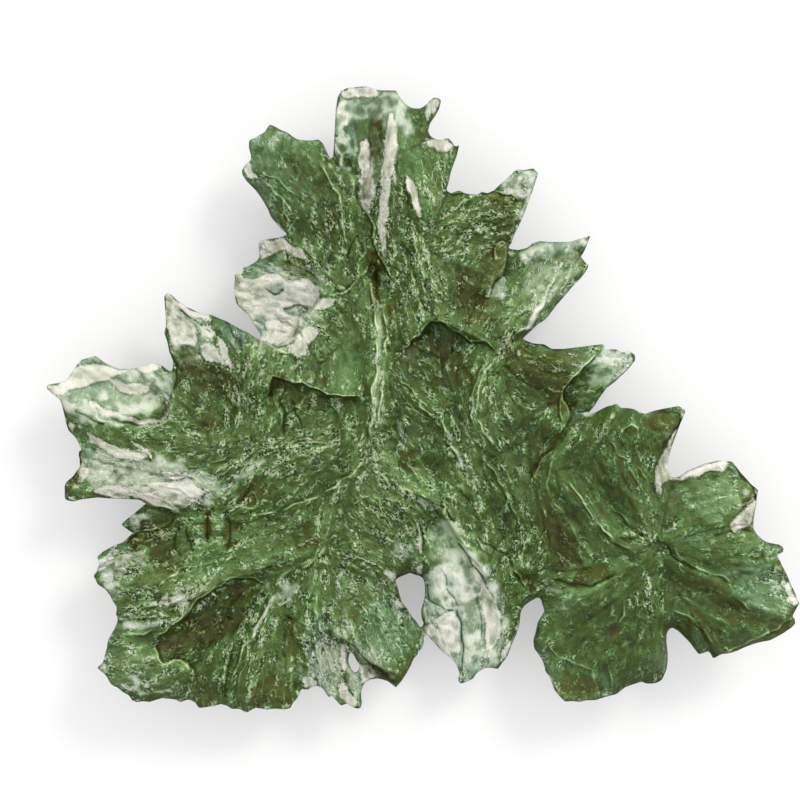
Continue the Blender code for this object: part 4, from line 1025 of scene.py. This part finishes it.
def rim_of(x, y, radius, fade):
    """For each place, 1 at the stone's outline, falling to 0 about twice that radius inside it."""
    i, j = np.rint(y).astype(int), np.rint(x).astype(int)
    cell = np.clip(i, 0, SHEET - 1) * SHEET + np.clip(j, 0, SHEET - 1)
    covered = np.bincount(cell, minlength=SHEET * SHEET).reshape(SHEET, SHEET) > 0
    inside = (blurred(covered.astype(float), 1.6) > 0.2).astype(float)
    return smooth_step((0.98 - sampled(blurred(inside, radius), x, y)) / fade)


def add_attributes(mesh, sheet, drawing):
    """Stores, at each vertex, its place along its nearest vein, its relief and what is drawn there."""
    places, normals = places_of(mesh), normals_of(mesh)
    x, y = sheet.from_frame(places)
    face = normals[:, 2] > 0.3
    ceiling = sampled(average_height(x[face], y[face], places[face, 2], 3.0), x, y)
    drop = WALL_SHIFT * np.maximum(ceiling - places[:, 2], 0) / sheet.unit
    shifted_x, shifted_y = x + drop, y + drop
    best = np.full(len(x), np.inf)
    place = np.zeros((len(x), 3))
    for number, line in enumerate(VEINS):
        distance, along, across = place_along(line, shifted_x, shifted_y)
        closer = distance < best
        best = np.where(closer, distance, best)
        place[closer] = np.stack([along + VEIN_SHIFT * number, across, 0 * x], axis=1)[closer]
    place[:, 2] = sampled(drawing.streaks, shifted_x, shifted_y)
    store(mesh, "vein_place", place)
    fields = (drawing.strands, drawing.strand_slope, drawing.mottle)
    etching = [sampled(field, shifted_x, shifted_y) for field in fields]
    store(mesh, "etching", np.stack(etching, axis=1))

    outward = np.zeros(len(x))
    for facing in (normals[:, 2] > 0, normals[:, 2] <= 0):
        height = places[facing, 2] / MM * np.sign(normals[facing, 2])
        for radius, share in RELIEF_SHARES:
            average = average_height(x[facing], y[facing], height, radius)
            lift = height - sampled(average, x[facing], y[facing])
            outward[facing] += share * np.clip(lift, -RELIEF_CLIP, RELIEF_CLIP)
    on_top = smooth_step(0.5 + normals[:, 2] * 2)
    drawn_tone = sampled(drawing.tone + CREAM_LIFT * drawing.patches["cream"], x, y)
    # Painted light and shade: what stands above its surroundings is lighter, and what lies in a hollow is
    # darker.
    tone = PAINTED_RELIEF_SHADING * outward + drawn_tone * on_top
    traces = [drawing.traced(lines, x, y) for lines in (CRESTS, CUTS, STEPS)]
    store(mesh, "line_across", np.stack([across for across, _ in traces], axis=1))
    fading = sampled(drawing.fading, x, y)
    weights = [traces[0][1] * fading, traces[1][1], traces[2][1]]
    store(mesh, "line_weight", np.stack([weight * on_top for weight in weights], axis=1))

    rim, edge = rim_of(x, y, 1.6, 0.3), rim_of(x, y, 6.0, 0.5)
    edge *= smooth_step(0.5 + 0.5 * sampled(drawing.mottle, x, y))
    tone += EDGE_LIGHT * edge * on_top - RIM_SHADE * rim
    colours = [sampled(drawing.patches[name], x, y) for name in ("cream", "olive", "teal")]
    colours[0] *= 1 - 0.5 * rim
    colours[2] = np.maximum(colours[2], np.maximum(0.7 * rim, 0.6 * edge))
    lively = sampled(drawing.lively, x, y) * on_top + 1 - on_top
    store(mesh, "tone", tone)
    store(mesh, "lively", lively)
    store(mesh, "colours", np.stack(colours, axis=1))
    inside = [np.where(on_top > 0.5, sampled(field, x, y), -PIECE_REACH) for field in drawing.inside.values()]
    store(mesh, "inside_piece", np.stack(inside, axis=1))


class Wiring:
    """Adds nodes to a material, with sockets or plain numbers as their inputs."""

    def __init__(self, material):
        material.use_nodes = True
        self.nodes = material.node_tree.nodes
        self.links = material.node_tree.links

    def feed(self, socket, value):
        if isinstance(value, bpy.types.NodeSocket):
            self.links.new(value, socket)
        else:
            socket.default_value = value

    def attribute(self, name, output="Fac"):
        node = self.nodes.new("ShaderNodeAttribute")
        node.attribute_name = name
        return node.outputs[output]

    def math(self, operation, *values, clamp=False):
        node = self.nodes.new("ShaderNodeMath")
        node.operation = operation
        node.use_clamp = clamp
        for socket, value in zip(node.inputs, values):
            self.feed(socket, value)
        return node.outputs["Value"]

    def scaled(self, vector, factors):
        node = self.nodes.new("ShaderNodeVectorMath")
        node.operation = "MULTIPLY"
        self.feed(node.inputs[0], vector)
        node.inputs[1].default_value = factors
        return node.outputs["Vector"]

    def facing(self, normal, direction):
        """How far the normal leans towards a direction fixed to the stone."""
        turned = self.nodes.new("ShaderNodeVectorTransform")
        turned.vector_type = "NORMAL"
        turned.convert_from = "WORLD"
        turned.convert_to = "OBJECT"
        self.feed(turned.inputs["Vector"], normal)
        node = self.nodes.new("ShaderNodeVectorMath")
        node.operation = "DOT_PRODUCT"
        self.feed(node.inputs[0], turned.outputs["Vector"])
        node.inputs[1].default_value = direction
        return node.outputs["Value"]

    def added(self, first, second):
        node = self.nodes.new("ShaderNodeVectorMath")
        node.operation = "ADD"
        self.feed(node.inputs[0], first)
        self.feed(node.inputs[1], second)
        return node.outputs["Vector"]

    def noise(self, vector, scale, detail, roughness, distortion, dimensions="2D", output="Fac"):
        node = self.nodes.new("ShaderNodeTexNoise")
        node.noise_dimensions = dimensions
        self.feed(node.inputs["Vector"], vector)
        node.inputs["Scale"].default_value = scale
        node.inputs["Detail"].default_value = detail
        node.inputs["Roughness"].default_value = roughness
        node.inputs["Distortion"].default_value = distortion
        return node.outputs[output]

    def cells(self, vector, feature, output):
        """A pattern of cells, about 1 across."""
        node = self.nodes.new("ShaderNodeTexVoronoi")
        node.voronoi_dimensions = "2D"
        node.feature = feature
        node.inputs["Scale"].default_value = 1.0
        self.feed(node.inputs["Vector"], vector)
        return node.outputs[output]

    def ridge(self, distance, middle, half_width):
        """1 at the middle, falling to 0 at the half width."""
        away = self.math("ABSOLUTE", self.math("SUBTRACT", distance, middle))
        return self.math("SUBTRACT", 1.0, self.math("DIVIDE", away, half_width), clamp=True)

    def embossed(self, distance, half_width):
        """A crest with a cut along its right hand; where this sets the tone, the pale crest is a painted
        highlight and the dark cut is painted shade.
        """
        crest = self.ridge(distance, 0.0, half_width)
        cut = self.ridge(distance, 2.1 * half_width, 1.3 * half_width)
        return self.math("MULTIPLY_ADD", cut, -0.6, crest)

    def contours(self, height, slope, levels, half_width):
        """Thin crests along the height's contour lines, fading out where they are far apart."""
        slope = self.math("MAXIMUM", self.math("MULTIPLY", slope, levels), 0.01)
        phase = self.math("SUBTRACT", self.math("FRACT", self.math("MULTIPLY", height, levels)), 0.5)
        lines = self.embossed(self.math("DIVIDE", phase, slope), half_width)
        return self.math("MULTIPLY", lines, self.math("MULTIPLY_ADD", slope, 12.0, -0.9, clamp=True))

    def noise_contours(self, vector, factors, levels, half_width):
        """The same for a noise, whose slope is found a short step away."""
        step = 0.4
        here = self.scaled(vector, factors)
        height = self.noise(here, 1.0, 1.0, 0.5, 0.6)
        beside = self.noise(self.added(here, (0.0, step * factors[1], 0.0)), 1.0, 1.0, 0.5, 0.6)
        slope = self.math("MULTIPLY", self.math("ABSOLUTE", self.math("SUBTRACT", beside, height)), 1 / step)
        return self.contours(height, slope, levels, half_width)

    def parts(self, vector):
        node = self.nodes.new("ShaderNodeSeparateXYZ")
        self.feed(node.inputs["Vector"], vector)
        return node.outputs

    def ramp(self, value, stops):
        """A colour ramp on the value, with (position, colour) stops."""
        node = self.nodes.new("ShaderNodeValToRGB")
        while len(node.color_ramp.elements) < len(stops):
            node.color_ramp.elements.new(0.5)
        for element, (position, colour) in zip(node.color_ramp.elements, stops):
            element.position = position
            element.color = colour
        self.feed(node.inputs["Fac"], value)
        return node.outputs["Color"]

    def mixed(self, mask, first, second):
        node = self.nodes.new("ShaderNodeMix")
        node.data_type = "RGBA"
        self.feed(node.inputs["Factor"], mask)
        self.feed(node.inputs[6], first)
        self.feed(node.inputs[7], second)
        return node.outputs[2]


def flakes(wiring, place):
    """Flakes that each catch the light differently, and the crests between them, in two sizes."""
    bend = wiring.noise(wiring.scaled(place, FLAKE_SCALE), 1.6, 2.0, 0.5, 0.0, output="Color")
    bent = wiring.added(wiring.scaled(place, FLAKE_SCALE), wiring.scaled(bend, FLAKE_BEND))
    found = []
    for cell_place, middle, half_width in ((bent, 0.08, 0.09), (wiring.scaled(bent, CHIP_SCALE), 0.16, 0.17)):
        edge = wiring.cells(cell_place, "DISTANCE_TO_EDGE", "Distance")
        found.append(wiring.parts(wiring.cells(cell_place, "F1", "Color"))[0])
        found.append(wiring.ridge(edge, middle, half_width))
    return found


def strokes(wiring, etching):
    """The etched strokes: crests, cuts and flakes, gathered in busy bands, and long lines along the veins."""
    fine = etching["fine"]
    crest = wiring.math("MULTIPLY", wiring.math("SUBTRACT", fine, 0.55), 13.0, clamp=True)
    cut = wiring.math("MULTIPLY", wiring.math("SUBTRACT", 0.44, fine), 13.0, clamp=True)
    where = wiring.nodes.new("ShaderNodeTexCoord").outputs["Object"]
    pores = wiring.noise(where, PORE_SCALE, 1.0, 0.5, 0.0, "3D")
    flake, seam, chip, chink = flakes(wiring, etching["place"])
    short_lines = wiring.noise_contours(etching["place"], SHORT_LINE_SCALE, 2.2, 0.75)
    long_lines = wiring.contours(etching["strands"], etching["strand_slope"], 0.9, 0.75)

    grain = 0.0
    for part, middle, share in (
        (crest, 0.0, 0.85), (cut, 0.0, -0.35), (pores, 0.5, 2.6), (flake, 0.5, 0.5), (seam, 0.0, 1.0),
        (chip, 0.5, 0.8), (chink, 0.3, 0.7), (short_lines, 0.0, 1.7),
    ):
        grain = wiring.math("MULTIPLY_ADD", wiring.math("SUBTRACT", part, middle), share, grain)
    grain = wiring.math("MAXIMUM", wiring.math("SUBTRACT", grain, 0.42), -0.55)

    lively, streaks = wiring.attribute("lively"), etching["streaks"]
    busy = wiring.math("MULTIPLY_ADD", streaks, 1.8, 0.38)
    busy = wiring.math("MULTIPLY_ADD", etching["mottle"], 0.45, busy, clamp=True)
    busy = wiring.math("MULTIPLY", wiring.math("MULTIPLY_ADD", busy, 1.5, 0.22), lively)
    patchy = wiring.math("MULTIPLY_ADD", streaks, 1.2, 0.12, clamp=True)
    patchy = wiring.math("MULTIPLY", patchy, wiring.math("MULTIPLY", lively, 2.4))
    return wiring.math("MULTIPLY_ADD", long_lines, patchy, wiring.math("MULTIPLY", grain, busy))


def drawn_lines(wiring):
    """What is drawn: crests, cuts, and steps with a bright lip and a dark foot; where this sets the tone, the
    pale crests and lips are painted highlights and the cuts and feet are painted shade.
    """
    across = wiring.parts(wiring.attribute("line_across", "Vector"))
    weight = wiring.parts(wiring.attribute("line_weight", "Vector"))
    drawn = wiring.math("MULTIPLY", wiring.embossed(across[0], 1.1), weight[0])
    cuts = wiring.math("MULTIPLY", wiring.ridge(across[1], 0.0, 1.5), weight[1])
    edge = wiring.math("SUBTRACT", wiring.ridge(across[2], -0.9, 1.1), wiring.ridge(across[2], 1.3, 1.7))
    return wiring.math("MULTIPLY_ADD", edge, weight[2], wiring.math("SUBTRACT", drawn, cuts))


def piece_edges(wiring, etching):
    """How far inside a piece of each colour the skin is, with ragged edges, and the tone of those edges."""
    ragged = wiring.math("MULTIPLY", wiring.math("SUBTRACT", etching["fine"], 0.5), 4.0)
    ragged = wiring.math("MULTIPLY_ADD", etching["streaks"], 1.4, ragged)
    depths = wiring.parts(wiring.attribute("inside_piece", "Vector"))
    inside = [wiring.math("ADD", depth, ragged) for depth in depths]
    cream, teal, olive = inside
    brim = wiring.math("MULTIPLY", wiring.ridge(cream, 1.2, 1.4), 0.12)
    brim = wiring.math("MULTIPLY_ADD", wiring.ridge(cream, -1.3, 1.5), -0.20, brim)
    brim = wiring.math("MULTIPLY_ADD", wiring.ridge(teal, -0.4, 1.3), -0.10, brim)
    brim = wiring.math("MULTIPLY_ADD", wiring.math("MULTIPLY_ADD", olive, 0.3, 0.3, clamp=True), -0.14, brim)
    return inside, brim


def skin_colour(wiring, etching, tone, inside):
    """Green, with an olive and a teal haze over it, then the drawn patches and the pieces."""
    streaks, mottle = etching["streaks"], etching["mottle"]
    olive_haze = wiring.math("MULTIPLY_ADD", mottle, -0.5, -0.05, clamp=True)
    teal_haze = wiring.math("MULTIPLY_ADD", mottle, 0.4, -0.12, clamp=True)
    colour = wiring.ramp(tone, GREEN_TONES)
    colour = wiring.mixed(wiring.math("MULTIPLY", olive_haze, 0.42), colour, wiring.ramp(tone, OLIVE_TONES))
    colour = wiring.mixed(wiring.math("MULTIPLY", teal_haze, 0.5), colour, wiring.ramp(tone, TEAL_TONES))

    cream, olive, teal = wiring.parts(wiring.attribute("colours", "Vector"))
    calm = wiring.math("MULTIPLY", wiring.attribute("lively"), 2.2, clamp=True)
    for patch, tones, tear in ((teal, TEAL_TONES, 0.6), (olive, OLIVE_TONES, -0.6), (cream, MIST_TONES, 0.5)):
        torn = wiring.math("MULTIPLY", streaks, tear)
        torn = wiring.math("MULTIPLY_ADD", etching["swing"], 0.15 * tear, torn)
        mask = wiring.math("MULTIPLY_ADD", patch, 1.2, -0.14)
        mask = wiring.math("ADD", mask, wiring.math("MULTIPLY", torn, calm), clamp=True)
        mask = wiring.math("MULTIPLY", mask, wiring.math("MULTIPLY", patch, 2.0, clamp=True))
        colour = wiring.mixed(mask, colour, wiring.ramp(tone, tones))

    solidity = wiring.math("ADD", streaks, wiring.math("MULTIPLY", mottle, 0.15))
    solidity = wiring.math("MULTIPLY_ADD", solidity, 0.8, 0.66, clamp=True)
    for depth, tones in zip(inside, (CREAM_TONES, FOLD_TONES, OLIVE_TONES)):
        mask = wiring.math("MULTIPLY", wiring.math("MULTIPLY_ADD", depth, 0.6, 0.5, clamp=True), solidity)
        colour = wiring.mixed(mask, colour, wiring.ramp(tone, tones))
    return colour


def glass_material():
    """Clear green glass under an etched skin, whose tone and colour follow its relief and what is drawn."""
    material = bpy.data.materials.new("moldavite_glass")
    wiring = Wiring(material)
    nodes, links = wiring.nodes, wiring.links
    shader = nodes["Principled BSDF"]
    shader.inputs["Metallic"].default_value = 0
    shader.inputs["IOR"].default_value = GLASS_IOR
    shader.inputs["Transmission Weight"].default_value = GLASS_CLEARNESS
    shader.inputs["Specular IOR Level"].default_value = GLASS_SHEEN
    absorb = nodes.new("ShaderNodeVolumeAbsorption")
    absorb.inputs["Color"].default_value = GLASS_TINT
    absorb.inputs["Density"].default_value = GLASS_DENSITY
    links.new(absorb.outputs["Volume"], nodes["Material Output"].inputs["Volume"])

    etching = {"place": wiring.attribute("vein_place", "Vector")}
    etching["streaks"] = wiring.math("MULTIPLY", wiring.parts(etching["place"])[2], 0.16)
    strands = wiring.parts(wiring.attribute("etching", "Vector"))
    etching["strands"], etching["strand_slope"], etching["mottle"] = strands[0], strands[1], strands[2]
    etching["fine"] = wiring.noise(wiring.scaled(etching["place"], FINE_SCALE), 1.0, 1.0, 0.5, 1.0)
    etching["swing"] = strokes(wiring, etching)

    lift = wiring.math("MULTIPLY", etching["swing"], STROKE_TONE)
    lift = wiring.math("MULTIPLY_ADD", drawn_lines(wiring), DRAWN_TONE, lift)
    bump = nodes.new("ShaderNodeBump")
    bump.inputs["Strength"].default_value = 1.0
    bump.inputs["Distance"].default_value = BUMP_HEIGHT
    links.new(lift, bump.inputs["Height"])
    links.new(bump.outputs["Normal"], shader.inputs["Normal"])

    inside, brim = piece_edges(wiring, etching)
    # The tone also takes the strokes' height: a painted highlight on their crests and painted shade in their
    # cuts.
    tone = wiring.math("ADD", wiring.math("ADD", wiring.attribute("tone"), lift), SKIN_TONE)
    # Painted light and shade: lighter where the bumped normal leans towards the lit side of the stone, darker
    # where it leans away.
    painted_side_light = wiring.facing(bump.outputs["Normal"], PAINTED_LIGHT_SIDE)
    tone = wiring.math("MULTIPLY_ADD", painted_side_light, PAINTED_LIGHT_TONE, wiring.math("ADD", tone, brim))
    tone = wiring.math("MULTIPLY_ADD", etching["mottle"], MOTTLE_TONE, tone, clamp=True)
    links.new(skin_colour(wiring, etching, tone, inside), shader.inputs["Base Color"])

    rough = nodes.new("ShaderNodeMapRange")
    rough.inputs["To Min"].default_value = 0.42
    rough.inputs["To Max"].default_value = 0.22
    links.new(tone, rough.inputs["Value"])
    links.new(rough.outputs["Result"], shader.inputs["Roughness"])
    return material


def floor_material():
    material = bpy.data.materials.new("pale_floor")
    material.use_nodes = True
    shader = material.node_tree.nodes["Principled BSDF"]
    shader.inputs["Base Color"].default_value = FLOOR_COLOUR
    shader.inputs["Roughness"].default_value = 0.9
    shader.inputs["Emission Color"].default_value = WORLD_COLOUR
    shader.inputs["Emission Strength"].default_value = FLOOR_GLOW
    return material


def make_floor(level):
    half = FLOOR_SIZE / 2
    mesh = bpy.data.meshes.new("floor")
    corners = [(-half, -half, level), (half, -half, level), (half, half, level), (-half, half, level)]
    mesh.from_pydata(corners, [], [(0, 1, 2, 3)])
    mesh.materials.append(floor_material())
    floor = bpy.data.objects.new("floor", mesh)
    bpy.context.scene.collection.objects.link(floor)


def aim(obj, place, target):
    obj.location = place
    obj.rotation_euler = (Vector(target) - Vector(place)).to_track_quat("-Z", "Y").to_euler()


def add_softbox(name, place, size, power, colour):
    light = bpy.data.lights.new(name, "AREA")
    light.shape = "SQUARE"
    light.size = size
    light.energy = power
    light.color = colour
    obj = bpy.data.objects.new(name, light)
    bpy.context.scene.collection.objects.link(obj)
    aim(obj, place, (0, 0, 0))


def light_studio():
    world = bpy.data.worlds.new("studio")
    world.use_nodes = True
    background = world.node_tree.nodes["Background"]
    background.inputs["Color"].default_value = WORLD_COLOUR
    background.inputs["Strength"].default_value = WORLD_STRENGTH
    bpy.context.scene.world = world
    add_softbox("key_softbox", (0.28, 0.30, 0.42), 0.16, 1.5, (1.0, 0.98, 0.95))


def add_camera(sheet):
    centre_x, centre_y = sheet.to_frame(*VIEW_CENTRE)
    camera = bpy.data.cameras.new("camera")
    camera.lens = CAMERA_LENS
    camera.sensor_width = SENSOR_WIDTH
    camera.clip_start = 0.01
    obj = bpy.data.objects.new("camera", camera)
    low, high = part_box("moldavite")
    middle = (low[2] + high[2]) / 2
    distance = VIEW_WIDTH * sheet.unit * CAMERA_LENS / SENSOR_WIDTH
    obj.location = (centre_x, centre_y, middle + distance)
    bpy.context.scene.collection.objects.link(obj)
    bpy.context.scene.camera = obj


def main():
    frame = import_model()
    bpy.context.scene.view_settings.view_transform = "Standard"
    sheet = Sheet(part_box("moldavite"))
    drawing = Drawing(np.random.default_rng(SEED))

    skin = make_skin(frame, sheet, drawing)
    skin.data.materials.append(glass_material())
    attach(skin, "root")
    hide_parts("moldavite")

    make_floor(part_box("moldavite")[0][2])
    light_studio()
    add_camera(sheet)


main()
